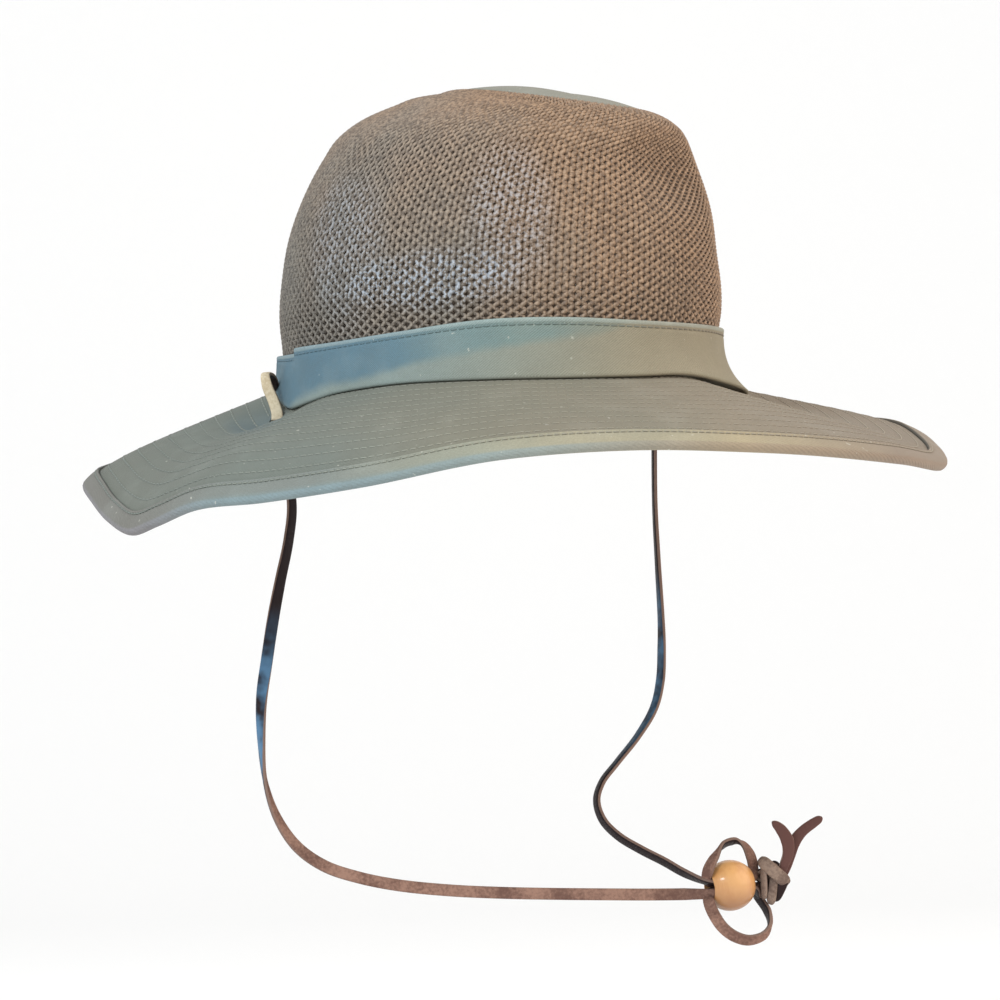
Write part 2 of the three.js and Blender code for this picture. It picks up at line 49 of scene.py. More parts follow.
# %% [markdown]
# ## Directions and units
# The hat stands with +Z up and its front towards -Y, and the wearer's right is -X. The sizes below are in
# millimetres, as a hatter's are, and become metres where a mesh is made. Directions round the hat are in
# degrees from the front towards the wearer's right. The lace hangs in an upright sheet of space turned by
# 30 degrees, and its places are given as right, near and up in that sheet.

# %% Directions and units
MM = 0.001
MAP_ROUND = 0.56
HANG_TURN = math.radians(-30)
RIGHT = np.array([math.cos(HANG_TURN), math.sin(HANG_TURN), 0.0])
NEAR = np.array([math.sin(HANG_TURN), -math.cos(HANG_TURN), 0.0])
UP = np.array([0.0, 0.0, 1.0])


def hanging(rows):
    """Places of (right, near, up) rows: right along RIGHT, near along NEAR and up along UP."""
    rows = np.atleast_2d(np.asarray(rows, float))
    return rows[:, :1] * RIGHT + rows[:, 1:2] * NEAR + rows[:, 2:3] * UP


def unit(vectors):
    """Each vector divided by its own length."""
    return vectors / np.linalg.norm(vectors, axis=-1, keepdims=True)


# %% [markdown]
# ## Camera
# The hat is seen from its right front, a little from below the brim's level, and from far enough away to
# keep its shape calm. A long lens does that. The camera leans by about one degree, as a hand does.

# %% Camera
EYE = hanging([(-2.1, 1500, -92)])[0]
LOOK_UP = math.radians(2.05)
LEAN = 0.0227
level_sight = -NEAR
tall = unit(LEAN * RIGHT + math.sqrt(1 - LEAN**2) * UP)
sight = level_sight * math.cos(LOOK_UP) + tall * math.sin(LOOK_UP)
tall = tall * math.cos(LOOK_UP) - level_sight * math.sin(LOOK_UP)
wide = np.cross(sight, tall)

FOCAL_LONG = 137.76
lens = bpy.data.cameras.new("camera")
lens.sensor_width = 36
lens.lens = FOCAL_LONG
lens.clip_start = 0.05
lens.clip_end = 30
camera = bpy.data.objects.new("camera", lens)
pose = np.eye(4)
pose[:3, :3] = np.column_stack([wide, tall, -sight])
pose[:3, 3] = EYE * MM
camera.matrix_world = Matrix(pose.tolist())
bpy.context.scene.collection.objects.link(camera)
bpy.context.scene.camera = camera
print("camera stands", round(float(np.linalg.norm(EYE))), "mm from the hat's middle")

# %% [markdown]
# ## From numbers to a mesh
# Every piece here is a surface worked out as whole arrays: a grid of points with two parameters. Four
# neighbouring points make one small face. A grid can close on itself in one direction, like a tube, or in
# both, like a ring. A map called "cloth" says how far along and across the cloth each corner lies, so that
# a weave can follow it.

# %% Grids become meshes
def grid_faces(rows, columns, round_rows=False, round_columns=False):
    """The corners of the face between rows r, r+1 and columns c, c+1, for all r and c."""
    r = np.arange(rows if round_rows else rows - 1)[:, None]
    c = np.arange(columns if round_columns else columns - 1)[None, :]
    r2 = (r + 1) % rows
    c2 = (c + 1) % columns
    corners = [r * columns + c, r * columns + c2, r2 * columns + c2, r2 * columns + c]
    return np.stack(np.broadcast_arrays(*corners), axis=-1).reshape(-1, 4)


def grid_map(across, along):
    """The cloth map of a grid's faces: across holds each column's place and along each row's, unclosed."""
    u, v = np.meshgrid(across, along)
    corners = [(u, v, slice(0, -1), slice(0, -1)), (u, v, slice(0, -1), slice(1, None)),
               (u, v, slice(1, None), slice(1, None)), (u, v, slice(1, None), slice(0, -1))]
    pairs = [np.stack([a[rs, cs], b[rs, cs]], axis=-1) for a, b, rs, cs in corners]
    return np.stack(pairs, axis=2).reshape(-1, 4, 2)


def inside_out(points, faces):
    """True where a mesh's faces point inwards: its volume, summed over triangles from its own middle, is
    below zero. A tube without its ends is near enough to closed for that."""
    points = points - points.mean(axis=0)
    a, b, c = points[faces[:, 0]], points[faces[:, 1]], points[faces[:, 2]]
    volume = np.einsum("ij,ij->i", a, np.cross(b, c)).sum()
    if faces.shape[1] == 4:
        d = points[faces[:, 3]]
        volume += np.einsum("ij,ij->i", a, np.cross(c, d)).sum()
    return volume < 0


def make_piece(name, points, faces, cloth, finish, stands_for=()):
    """One smooth mesh object in metres, riding on the hat. faces and cloth are lists of batches, and the
    faces of a batch have equally many sides."""
    mesh = bpy.data.meshes.new(name)
    polygons = [face for batch in faces for face in batch.tolist()]
    mesh.from_pydata((np.asarray(points) * MM).tolist(), [], polygons)
    layer = mesh.uv_layers.new(name="cloth")
    corner_map = np.concatenate([batch.reshape(-1, 2) for batch in cloth])
    layer.data.foreach_set("uv", corner_map.astype(np.float32).ravel())
    mesh.polygons.foreach_set("use_smooth", np.ones(len(polygons), bool))
    mesh.materials.append(finish)
    mesh.update()
    piece = bpy.data.objects.new(name, mesh)
    bpy.context.scene.collection.objects.link(piece)
    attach(piece, "root")
    if stands_for:
        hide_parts(*stands_for)
    print(name, "has", sum(len(batch) * (batch.shape[1] - 2) for batch in faces), "triangles")
    return piece


def ring_piece(name, rows, turns, along, finish, stands_for=(), flat_map=False):
    """A closed ring: rows[section, direction] is its section, carried round the hat and joined up."""
    count = rows.shape[1]
    points = rows.reshape(-1, 3)
    faces = grid_faces(rows.shape[0], count, True, True)
    across = np.append(turns, turns[0] + 360) / 360 * MAP_ROUND
    cloth = grid_map(across, np.append(along, along[-1] + 1) * MM)
    if flat_map:
        cloth = points[faces][:, :, :2] * MM
    if inside_out(points, faces):
        faces, cloth = faces[:, ::-1], cloth[:, ::-1]
    return make_piece(name, points, [faces], [cloth], finish, stands_for)


def end_fans(corners, far, middle):
    """Triangles that close both ends of a tube: its first ring meets the point numbered middle, and its
    last ring, whose numbers start at far, meets the next point."""
    one = np.arange(corners)
    two = (one + 1) % corners
    first = np.stack([two, one, np.full(corners, middle)], axis=1)
    last = np.stack([one + far, two + far, np.full(corners, middle + 1)], axis=1)
    return np.concatenate([first, last])


def tube_piece(name, rings, along, finish, stands_for=(), looped=False):
    """Tubes in one mesh: rings[tube, step, corner]. A looped tube's last ring joins its first, and any
    other has both ends closed round their middles. The map's across is 0 to 1 round a tube."""
    count, steps, corners, _ = rings.shape
    points = rings.reshape(count, -1, 3)
    caps = np.zeros((0, 3), int)
    if not looped:
        caps = end_fans(corners, (steps - 1) * corners, steps * corners)
        points = np.concatenate([points, rings[:, [0, -1]].mean(axis=2)], axis=1)
    wall = grid_faces(steps, corners, looped, True)
    around = np.linspace(0, 1, corners + 1)
    wall_map = np.stack([grid_map(around, line * MM) for line in along])
    if inside_out(points[0], wall):
        wall, wall_map, caps = wall[:, ::-1], wall_map[:, :, ::-1], caps[:, ::-1]
    shift = (np.arange(count) * points.shape[1])[:, None, None]
    walls = (wall + shift).reshape(-1, 4)
    ends = (caps + shift).reshape(-1, 3)
    cloth = [wall_map.reshape(-1, 4, 2), np.zeros((len(ends), 3, 2))]
    return make_piece(name, points.reshape(-1, 3), [walls, ends], cloth, finish, stands_for)


print("three kinds of piece: rings, tubes and loops")

# %% [markdown]
# ## Smooth lines through a few sizes
# A hatter draws a shape with a few measurements and lets a smooth line run through them. The same is done
# here: a column of sizes is a cubic line, whose slope at each size is the weighted mean of its two
# neighbours' slopes.

# %% Smooth lines
def smooth_line(stops, sizes, places, period=None):
    """A cubic Hermite line through (stop, size) pairs, read at the places. A period closes it on itself."""
    stops = np.asarray(stops, float)
    sizes = np.asarray(sizes, float)
    places = np.asarray(places, float)
    if period:
        places = np.mod(places, period)
        stops = np.concatenate([stops - period, stops, stops + period])
        sizes = np.tile(sizes, 3)
    places = np.clip(places, stops[0], stops[-1])
    i = np.clip(np.searchsorted(stops, places) - 1, 0, len(stops) - 2)
    gaps = np.diff(stops)
    slopes = np.diff(sizes) / gaps
    inner = (slopes[:-1] * gaps[1:] + slopes[1:] * gaps[:-1]) / (gaps[:-1] + gaps[1:])
    slopes = np.concatenate([slopes[:1], inner, slopes[-1:]])
    t = (places - stops[i]) / gaps[i]
    start = (2 * t**3 - 3 * t**2 + 1) * sizes[i] + (t**3 - 2 * t**2 + t) * gaps[i] * slopes[i]
    end = (3 * t**2 - 2 * t**3) * sizes[i + 1] + (t**3 - t**2) * gaps[i] * slopes[i + 1]
    return start + end


def bell(distance, spread):
    """exp(-(distance / spread)^2): one in the middle, fading out over the spread."""
    return np.exp(-((distance / spread) ** 2))


def turn_between(a, b):
    """The shorter way from direction b to direction a, in degrees."""
    return np.mod(a - b + 540, 360) - 180


def paired(turn, place):
    """Two arrays of numbers, each repeated until both have one shape."""
    return np.broadcast_arrays(np.asarray(turn, float), np.asarray(place, float))


def outward(turn):
    """Level unit vectors out of the hat: (-sin, -cos, 0) of the direction."""
    a = np.radians(turn)
    return np.stack([-np.sin(a), -np.cos(a), np.zeros_like(a)], axis=-1)


def oval_radius(half_width, half_length, turn):
    """From an oval's middle to its edge: 1 / sqrt((sin / half width)^2 + (cos / half length)^2)."""
    a = np.radians(turn)
    return 1 / np.hypot(np.sin(a) / half_width, np.cos(a) / half_length)


# %% [markdown]
# ## The shape of the hat
# The crown is an oval tube that narrows and leans as it rises, with a few soft dents. The brim starts at
# the head opening and droops more in some directions than in others. These tables hold the plain model's
# sizes, so that each new piece lies where its plain one does. Only the brim's start by the wearer's right
# ear differs a little.

# %% Sizes of the hat
OPENING = (80, 98)
SEAM_UP = 118.5
TIP_FROM = 24
TIP_AHEAD = math.tan(math.radians(9.6))
TIP_ASIDE = math.tan(math.radians(5.2))
NET_FOOT = 12
BRIM_THICK = 1.8
BAND_THICK = 1.8
BAND_CLEAR = 0.55
SEWN_GAP = 0.3
EDGE_TUCK = 0.05
HEM_WIDTH = 9

# up, half width, half length, aside, ahead
CROWN = np.array([
    (0, 81, 98.8, -0.3, -0.4), (22, 80.6, 98.4, -0.3, -0.4), (34, 81.8, 100, -0.2, 0),
    (47, 81.3, 99.7, 0.1, 1.2), (61, 79, 98.5, 0.4, 2.7), (75, 75, 95.5, 1, 5.9),
    (90, 68.5, 91, 1.8, 10.5), (98, 64.3, 87.5, 2.4, 13.6), (106, 57.5, 81, 3.6, 20),
    (112, 50, 73.5, 5, 27), (116, 44, 67.5, 6, 31), (118.5, 38, 60.5, 7, 35),
])
# at, up, deep, spread, tall
DENTS = [(345, 97, 9, 17, 17), (28, 95, 4, 16, 20), (300, 62, 2.5, 18, 16), (75, 72, 1.5, 14, 24),
         (300, 108, 1.8, 24, 14)]
# at, foot, band top, flare
FOOT = np.array([
    (0, 2.6, 23.8, 3), (15, 2, 24.7, 1.6), (30, 2.2, 24.8, 1), (55, 2.6, 22, 0.6), (75, 1.4, 20.6, 0.5),
    (97, 0.6, 20.6, 1.5), (122, 7, 21.3, 1.2), (150, 9, 24, 0.5), (210, 9, 27, 0.5), (260, 9.5, 28, 1),
    (284, 7.5, 27.5, 2.5), (296, 2.5, 26.5, 6), (308, -0.8, 25.5, 9.5), (318, -0.2, 24.7, 9),
    (333, 1.6, 24, 6), (347, 3.6, 23.6, 4),
])
# at, edge level, reach, curl
EDGE = np.array([
    (0, -28.5, 83, 0.12), (15, -27.5, 82, 0.15), (30, -30, 81, 0.2), (47, -38, 80, 0.22),
    (62, -42, 79, 0.25), (75, -43.5, 78.5, 0.28), (84, -48.5, 78.5, 0.3), (91, -51, 78.5, 0.3),
    (99, -45.5, 79, 0.24), (108, -37, 79.5, 0.2), (118, -31, 80, 0.15), (130, -27, 80, 0.12),
    (150, -20, 81, 0.12), (210, -12, 82, 0.12), (250, -10, 84, 0.12), (275, -10.5, 86, 0.12),
    (290, -15, 87, 0.15), (303, -24.5, 87, 0.2), (317, -32, 87, 0.2), (335, -31.5, 85, 0.15),
])
# at, high, spread, middle, across
WAVES = [(105, -4.5, 11, 0.16, 0.26), (255, -2, 11, 0.16, 0.26), (100, -1.8, 16, 0.15, 0.09)]


def foot_size(column, turn):
    return smooth_line(FOOT[:, 0], FOOT[:, column], turn, 360)


def edge_size(column, turn):
    return smooth_line(EDGE[:, 0], EDGE[:, column], turn, 360)


# %% Surfaces of the hat
def crown_face(turn, up):
    """The net's outer face: an oval at each height, less the dents, shifted and tipped as it rises."""
    turn, up = paired(turn, up)
    half_width, half_length, aside, ahead = (smooth_line(CROWN[:, 0], CROWN[:, k], up) for k in range(1, 5))
    radius = oval_radius(half_width, half_length, turn)
    for at, high, deep, spread, tall in DENTS:
        radius = radius - deep * bell(turn_between(turn, at), spread) * bell(up - high, tall)
    point = outward(turn) * radius[..., None]
    point[..., 0] += aside
    point[..., 1] -= ahead
    tipping = np.clip((up - TIP_FROM) / (SEAM_UP - TIP_FROM), 0, 1)
    point[..., 2] = up + (point[..., 1] * TIP_AHEAD - point[..., 0] * TIP_ASIDE) * tipping
    return point


def brim_middle(turn, part):
    """The middle of the brim's cloth: part runs from 0 at the head opening to 1 at the edge.
    Outwards it grows as part, less a small tuck at the edge. It falls as (1 - curl) part + curl part^6."""
    turn, part = paired(turn, part)
    foot = foot_size(1, turn)
    curl = edge_size(3, turn)
    out = part * (1 + EDGE_TUCK) - EDGE_TUCK * part**8
    reach = oval_radius(*OPENING, turn) + edge_size(2, turn) * out
    point = outward(turn) * reach[..., None]
    point[..., 2] = foot - (foot - edge_size(1, turn)) * ((1 - curl) * part + curl * part**6)
    for at, high, spread, middle, across in WAVES:
        point[..., 2] += high * bell(turn_between(turn, at), spread) * bell(part - middle, across)
    return point


def face_normal(face, turn, place, step):
    """Unit vectors square to a surface, from its slopes both ways: (up the face) x (round the face)."""
    along = face(turn + 1, place) - face(turn - 1, place)
    up = face(turn, place + step) - face(turn, place - step)
    return unit(np.cross(up, along))


def cloth_up(turn, part):
    """Unit vectors square to the brim's cloth, on its upper side."""
    return -face_normal(brim_middle, turn, np.clip(part, 0.01, 0.99), 0.01)


def hem_start(turn):
    """Where the hem begins: the part at which HEM_WIDTH of cloth is left, found by halving the gap."""
    edge = brim_middle(turn, 1.0)
    near = np.full_like(np.asarray(turn, float), 0.6)
    far = np.ones_like(near)
    for _ in range(20):
        part = (near + far) / 2
        too_wide = np.linalg.norm(brim_middle(turn, part) - edge, axis=-1) > HEM_WIDTH
        near = np.where(too_wide, part, near)
        far = np.where(too_wide, far, part)
    return near


print("brim droops to", round(float(brim_middle(np.arange(360.0), 1.0)[:, 2].min()), 1), "mm")

# %% [markdown]
# ## Materials as sums
# A finish is a network of small nodes. Written by hand it is long, so one small class wraps a node's output
# and lets plain arithmetic add the Math nodes. Everything else, such as a noise or a colour blend, comes
# from its one method `node`, which takes the kind of node, its settings and what goes into its sockets.

# %% Material arithmetic
class Signal:
    """An output of a material's node. + - * / and ** between signals and numbers each add one Math node."""

    def __init__(self, tree, output):
        self.tree = tree
        self.output = output

    def node(self, kind, settings=None, inputs=None, out=0):
        """Adds a node to the same material, with its settings and a value or signal for each socket."""
        made = self.tree.nodes.new(kind)
        for name, value in (settings or {}).items():
            if name == "stops":
                while len(made.color_ramp.elements) < len(value):
                    made.color_ramp.elements.new(0.5)
                for element, (place, colour) in zip(made.color_ramp.elements, value):
                    element.position = place
                    element.color = colour
            else:
                setattr(made, name, value)
        for name, value in (inputs or {}).items():
            if isinstance(value, Signal):
                self.tree.links.new(value.output, made.inputs[name])
            else:
                made.inputs[name].default_value = value
        return Signal(self.tree, made.outputs[out])

    def sum(self, operation, *terms):
        return self.node("ShaderNodeMath", {"operation": operation}, dict(enumerate(terms)))

    def __add__(self, other):
        return self.sum("ADD", self, other)

    def __radd__(self, other):
        return self.sum("ADD", other, self)

    def __sub__(self, other):
        return self.sum("SUBTRACT", self, other)

    def __rsub__(self, other):
        return self.sum("SUBTRACT", other, self)

    def __mul__(self, other):
        return self.sum("MULTIPLY", self, other)

    def __rmul__(self, other):
        return self.sum("MULTIPLY", other, self)

    def __truediv__(self, other):
        return self.sum("DIVIDE", self, other)

    def __pow__(self, other):
        return self.sum("POWER", self, other)


def paint(red, green, blue):
    """A colour as seen on a screen, 0 to 255, as the light it stands for: seen / 12.92 where that is below
    0.04045, else ((seen + 0.055) / 1.055) ^ 2.4."""
    seen = np.array([red, green, blue]) / 255
    light = np.where(seen <= 0.04045, seen / 12.92, ((seen + 0.055) / 1.055) ** 2.4)
    return (*(float(x) for x in light), 1.0)


def new_finish(name, **fixed):
    """A material with one shader. Returns it, the shader's node and a signal of the place on the object."""
    finish = bpy.data.materials.new(name)
    finish.use_nodes = True
    tree = finish.node_tree
    shader = next(node for node in tree.nodes if node.type == "BSDF_PRINCIPLED")
    for socket, value in fixed.items():
        shader.inputs[socket.replace("_", " ")].default_value = value
    place = tree.nodes.new("ShaderNodeTexCoord")
    return finish, shader, Signal(tree, place.outputs["Object"])


def feed(shader, socket, signal):
    """Links a signal to one of the shader's sockets."""
    signal.tree.links.new(signal.output, shader.inputs[socket])


def mixed(factor, first, second):
    """first where the factor is 0 and second where it is 1, for colours."""
    return factor.node("ShaderNodeMix", {"data_type": "RGBA"}, {0: factor, 6: first, 7: second}, out=2)


def between(signal, low, high):
    """0 below low, 1 above high and a smooth step between them."""
    return signal.node("ShaderNodeMapRange", {"interpolation_type": "SMOOTHSTEP"},
                       {"Value": signal, "From Min": low, "From Max": high})


def noise(place, scale, detail=3.0, rough=0.5):
    """Cloudy values round 0.5."""
    return place.node("ShaderNodeTexNoise", {}, {"Vector": place, "Scale": scale, "Detail": detail,
                                                  "Roughness": rough})


def cloth_map(place):
    """Across and along the cloth as two signals, and both together as one."""
    both = place.node("ShaderNodeUVMap", {"uv_map": "cloth"})
    across = both.node("ShaderNodeSeparateXYZ", {}, {0: both})
    return across, Signal(across.tree, across.output.node.outputs["Y"]), both


def wave(signal, length):
    """sin(2 pi signal / length)."""
    angle = signal * (2 * math.pi / length)
    return angle.sum("SINE", angle)


def raised(shader, height, distance, strength=1.0):
    """Lets a height signal tilt the surface, as if it rose by up to the distance in metres."""
    feed(shader, "Normal", height.node("ShaderNodeBump", {}, {"Height": height, "Distance": distance,
                                                              "Strength": strength}))


def toward(place, direction):
    """How far a place lies along a direction, in metres."""
    return place.node("ShaderNodeVectorMath", {"operation": "DOT_PRODUCT"}, {0: place, 1: tuple(direction)},
                      out="Value")


print("materials are written as sums")

# %% [markdown]
# ## The lace's finish
# The lace is cut from one hide, so it is tan suede on one face and smooth dark brown on the other. The
# map's "across" runs once round the lace's section, so the first half of it is the suede face and the
# second half the smooth one, and the two edges between them are raw and pale.

# %% Lace finish
def lace_finish(name, suede, suede_dark, smooth, edge, painted_sheen_weight=0.0):
    """Suede where across is 0.07 to 0.43, smooth leather from 0.57 to 0.93, and raw edges between. A
    stretch of the smooth face, 0.07 to 0.17 m along, gets a painted bluish reflection, as strong as the
    last argument asks.
    """
    finish, shader, place = new_finish(name, Specular_IOR_Level=0.15)
    across, along, _ = cloth_map(place)
    nap = noise(place, 900, 4, 0.6)
    patches = noise(place, 70, 3, 0.6)
    wobble = (noise(place, 300, 2) - 0.5) * 0.03
    smooth_part = between(across + wobble, 0.53, 0.58) * (1 - between(across + wobble, 0.92, 0.97))
    suede_part = between(across + wobble, 0.03, 0.08) * (1 - between(across + wobble, 0.42, 0.47))
    suede_colour = mixed(between(patches * 0.6 + nap * 0.4, 0.38, 0.62), suede_dark, suede)
    # painted reflection: a bluish sheen painted on one stretch of the smooth face, in place of the cool
    # light's reflection
    painted_sheen = between(along, 0.07, 0.1) * (1 - between(along, 0.14, 0.17)) * painted_sheen_weight
    smooth_colour = mixed(painted_sheen * between(patches, 0.3, 0.6), smooth, paint(80, 116, 146))
    colour = mixed(smooth_part, mixed(suede_part, edge, suede_colour), smooth_colour)
    feed(shader, "Base Color", colour)
    feed(shader, "Roughness", 0.95 - smooth_part * (0.55 - nap * 0.12))
    creases = wave(along, 0.0021) * 0.2 * between(noise(place, 120, 2), 0.45, 0.7)
    raised(shader, nap * (1 - smooth_part * 0.85) + creases, 0.00035, 0.6)
    return finish


suede, suede_dark = paint(150, 117, 102), paint(106, 79, 70)
lace_tan = lace_finish("lace leather", suede, suede_dark, paint(30, 19, 21), paint(124, 102, 92), 0.95)
# a paler copy of the lace's colours, for the stretch over the brim
lace_pale = lace_finish("lace leather, lighter", paint(206, 192, 166), paint(178, 160, 132),
                        paint(52, 38, 34), paint(140, 118, 100))
lace_worn = lace_finish("lace leather, worn", paint(146, 126, 112), paint(106, 88, 80), paint(40, 26, 26),
                        paint(138, 118, 106))
lace_dark = lace_finish("lace leather, dark ends", paint(132, 106, 96), paint(98, 76, 70),
                        paint(94, 64, 59), paint(150, 126, 116))
print("four finishes of the lace")

# %% [markdown]
# ## The chin lace
# A flat lace is a squared-off ellipse carried along a line. The line is the lace's real way: out of a hole
# in the brim, down below the chin, twice through the bead with a turn outside it, and into the knot. The
# line is smooth because it is a Catmull-Rom curve, the same kind as the plain model's. Each place on it
# also says how the suede face is turned: 0 looks out of the hanging sheet, 180 looks into it, and the lace
# twists in between.

# %% A flat lace along a line
LACE_WIDE = 4.7
LACE_THICK = 1.9
LACE_CORNERS = 20
CURVE_STEPS = 10


def curve_through(points):
    """A centripetal Catmull-Rom curve: each stretch is cubic, timed by the square root of its chord."""
    points = np.asarray(points, float)
    p = np.vstack([2 * points[0] - points[1], points, 2 * points[-1] - points[-2]])
    gaps = np.sqrt(np.linalg.norm(np.diff(p, axis=0), axis=1))[:, None]
    p0, p1, p2, p3 = p[:-3], p[1:-2], p[2:-1], p[3:]
    g0, g1, g2 = gaps[:-2], gaps[1:-1], gaps[2:]
    leave = ((p1 - p0) / g0 - (p2 - p0) / (g0 + g1) + (p2 - p1) / g1) * g1
    arrive = ((p2 - p1) / g1 - (p3 - p1) / (g1 + g2) + (p3 - p2) / g2) * g1
    t = np.linspace(0, 1, CURVE_STEPS, endpoint=False)[None, :, None]
    line = ((2 * t**3 - 3 * t**2 + 1) * p1[:, None] + (t**3 - 2 * t**2 + t) * leave[:, None]
            + (3 * t**2 - 2 * t**3) * p2[:, None] + (t**3 - t**2) * arrive[:, None])
    return np.vstack([line.reshape(-1, 3), points[-1:]])


def lengths_along(line):
    """The distance from a line's start to each of its points."""
    return np.concatenate([[0], np.cumsum(np.linalg.norm(np.diff(line, axis=0), axis=1))])


def even_steps(line, step):
    """The same line with points a step apart."""
    far = lengths_along(line)
    marks = np.linspace(0, far[-1], max(int(far[-1] / step), 4) + 1)
    return np.stack([np.interp(marks, far, line[:, k]) for k in range(3)], axis=1)


def strap_rings(line, ahead, toward_face, turned, wide, thick, power=0.5):
    """Rings of a flat lace. Round angle a, a ring's across is wide/2 |cos a| ^ power and its out is
    thick/2 |sin a| ^ power, with the signs of cos and sin. toward_face says where the suede face looks
    before it is turned round the line by so many degrees."""
    face = toward_face - np.sum(toward_face * ahead, axis=1, keepdims=True) * ahead
    face = unit(face)
    side = np.cross(ahead, face)
    turned = np.radians(np.broadcast_to(turned, len(line)))[:, None]
    face = np.cos(turned) * face + np.sin(turned) * side
    across = np.cross(ahead, face)
    angle = np.linspace(0, 2 * np.pi, LACE_CORNERS, endpoint=False)
    x = np.sign(np.cos(angle)) * np.abs(np.cos(angle)) ** power / 2
    y = np.sign(np.sin(angle)) * np.abs(np.sin(angle)) ** power / 2
    wide = np.broadcast_to(wide, len(line))[:, None, None]
    thick = np.broadcast_to(thick, len(line))[:, None, None]
    return (line[:, None] + across[:, None] * wide * x[None, :, None]
            + face[:, None] * thick * y[None, :, None])


def lay_lace(name, places, turned, wide, faces_to, finish, stands_for, cut_round=0.0):
    """One lace along its places. Turn and width are given at each place and run evenly between them. An end
    cut round narrows over its last bit, as sqrt(1 - (1 - distance left / bit)^2)."""
    fine = curve_through(places)
    line = even_steps(fine, 0.4 if cut_round else 0.8)
    marks = lengths_along(fine)[::CURVE_STEPS]
    far = lengths_along(line)
    wide = np.interp(far, marks, wide)
    thick = np.full_like(wide, LACE_THICK)
    if cut_round:
        left = np.clip(1 - (far[-1] - far) / cut_round, 0, 0.97)
        wide = wide * np.sqrt(1 - left**2)
        thick = thick * np.sqrt(1 - left**6)
    ahead = unit(np.gradient(line, axis=0))
    rings = strap_rings(line, ahead, faces_to(line), np.interp(far, marks, turned), wide, thick)
    piece = tube_piece(name, rings[None], [far], finish, stands_for)
    return piece, line, far[-1]


# %% Holes and bead lanes
HOLE_OUT = 8
HOLE_TURN = 105
BEAD_AT = hanging([(86.5, -8, -191.5)])[0]
BEAD_AXIS = unit(hanging([(0.94, -0.32, 0.08)])[0])
LANE_OFF = 2.1
INTO_KNOT = 14.1
LANE_UP = unit(UP - BEAD_AXIS[2] * BEAD_AXIS)
LANE_NEAR = unit(np.cross(LANE_UP, BEAD_AXIS))


def hole_middle(side):
    """Where the lace goes through the brim: side 1 is the wearer's right, -1 the left."""
    turn = np.array(HOLE_TURN if side > 0 else 360 - HOLE_TURN, float)
    return brim_middle(turn, HOLE_OUT / edge_size(2, turn))


def upright(side, way):
    """Two places just over (1) or under (-1) the middle of a hole, where the lace stands upright."""
    return [hole_middle(side) + way * off * UP for off in (SEWN_GAP / 2, 3)]


def in_bead(along, upper, near):
    return BEAD_AT + BEAD_AXIS * along + LANE_UP * upper * LANE_OFF + LANE_NEAR * near * LANE_OFF


def through(upper, near):
    return [in_bead(along, upper, near) for along in (-8.5, 0, 8.5)]


# %% The right-hand end of the lace
# right, near, up, turned
RIGHT_FALL = [
    (-81.5, 20, -38, 127), (-83, 20, -52.5, 132), (-86.5, 20, -68, 140), (-89.5, 19, -82, 155),
    (-92.5, 18, -99, 180), (-95, 16, -114.5, 212), (-95.5, 14, -130, 240), (-94.5, 12, -145.5, 268),
    (-90.5, 10, -159.5, 296), (-83, 8, -171.5, 322), (-72.5, 6, -179.5, 338), (-59, 4, -184.5, 348),
    (-43.5, 2, -188, 352), (-24, 0, -190.5, 352), (-4.5, -2, -192, 348), (15.5, -4, -193, 350),
    (35, -5, -193.7, 354), (54.5, -6, -194.3, 358), (68, -6.5, -194.5, 360),
]
LOW_LOOP = [
    (97.4, -14.3, -196.8, 236), (100.8, -13, -202.4, 240), (101.6, -11, -207.4, 270),
    (99.2, -9.5, -211.4, 306), (93.2, -8, -213.2, 326), (87.6, -6.5, -211.6, 334),
    (82.9, -4.6, -208, 338), (79.6, -2.4, -203.2, 342), (77.4, -0.4, -198, 350),
]


def rows_of(table):
    """A table's places, its turns, and the lace's full width at each."""
    table = np.array(table, float)
    return list(hanging(table[:, :3])), list(table[:, 3]), [LACE_WIDE] * len(table)


def join_ways(*ways):
    """Several (places, turns, widths) one after another."""
    return [sum((list(way[k]) for way in ways), []) for k in range(3)]


def near_face(line):
    """Out of the hanging sheet, at every place of a line."""
    return np.broadcast_to(NEAR, line.shape)


IN_BEAD_WIDE = 4.0
fall, low = rows_of(RIGHT_FALL), rows_of(LOW_LOOP)
right_way = join_ways(
    (upright(1, -1), [127] * 2, [LACE_WIDE] * 2), fall,
    (through(-1, -1), [360, 330, 250], [3.8, IN_BEAD_WIDE, 3.6]), low,
    (through(-1, 1), [356, 360, 360], [3.6, IN_BEAD_WIDE, IN_BEAD_WIDE]),
    ([in_bead(INTO_KNOT, -1, 1)], [360], [3.4]))
right_lace, right_line, right_long = lay_lace("chin_lace_right", *right_way, near_face, lace_tan,
                                              ["lace_right"])

# %% The left-hand end of the lace
LEFT_FALL = [
    (62.5, -66, -37.5, 262), (63, -63.5, -62, 258), (63.7, -60, -86.5, 250), (63.5, -57, -98, 240),
    (62.5, -53, -111, 236), (59.5, -49, -122, 240), (52.5, -43, -133, 250), (43.5, -37, -143.5, 254),
    (37.3, -33, -151, 252), (35, -30, -158, 248), (37, -27, -165.5, 240), (43, -23, -172, 236),
    (51.5, -19.5, -177.3, 234), (60.5, -15.5, -182, 234), (69, -10.6, -186.8, 236),
]
HIGH_LOOP = [
    (95.6, -12.6, -185, 398), (94.6, -11.8, -180.3, 402), (91.8, -10.6, -175.8, 434),
    (88, -9, -174.4, 482), (83.6, -6.2, -175.6, 474), (80, -3.6, -180, 420), (77.2, -0.8, -185, 398),
]
fall, high = rows_of(LEFT_FALL), rows_of(HIGH_LOOP)
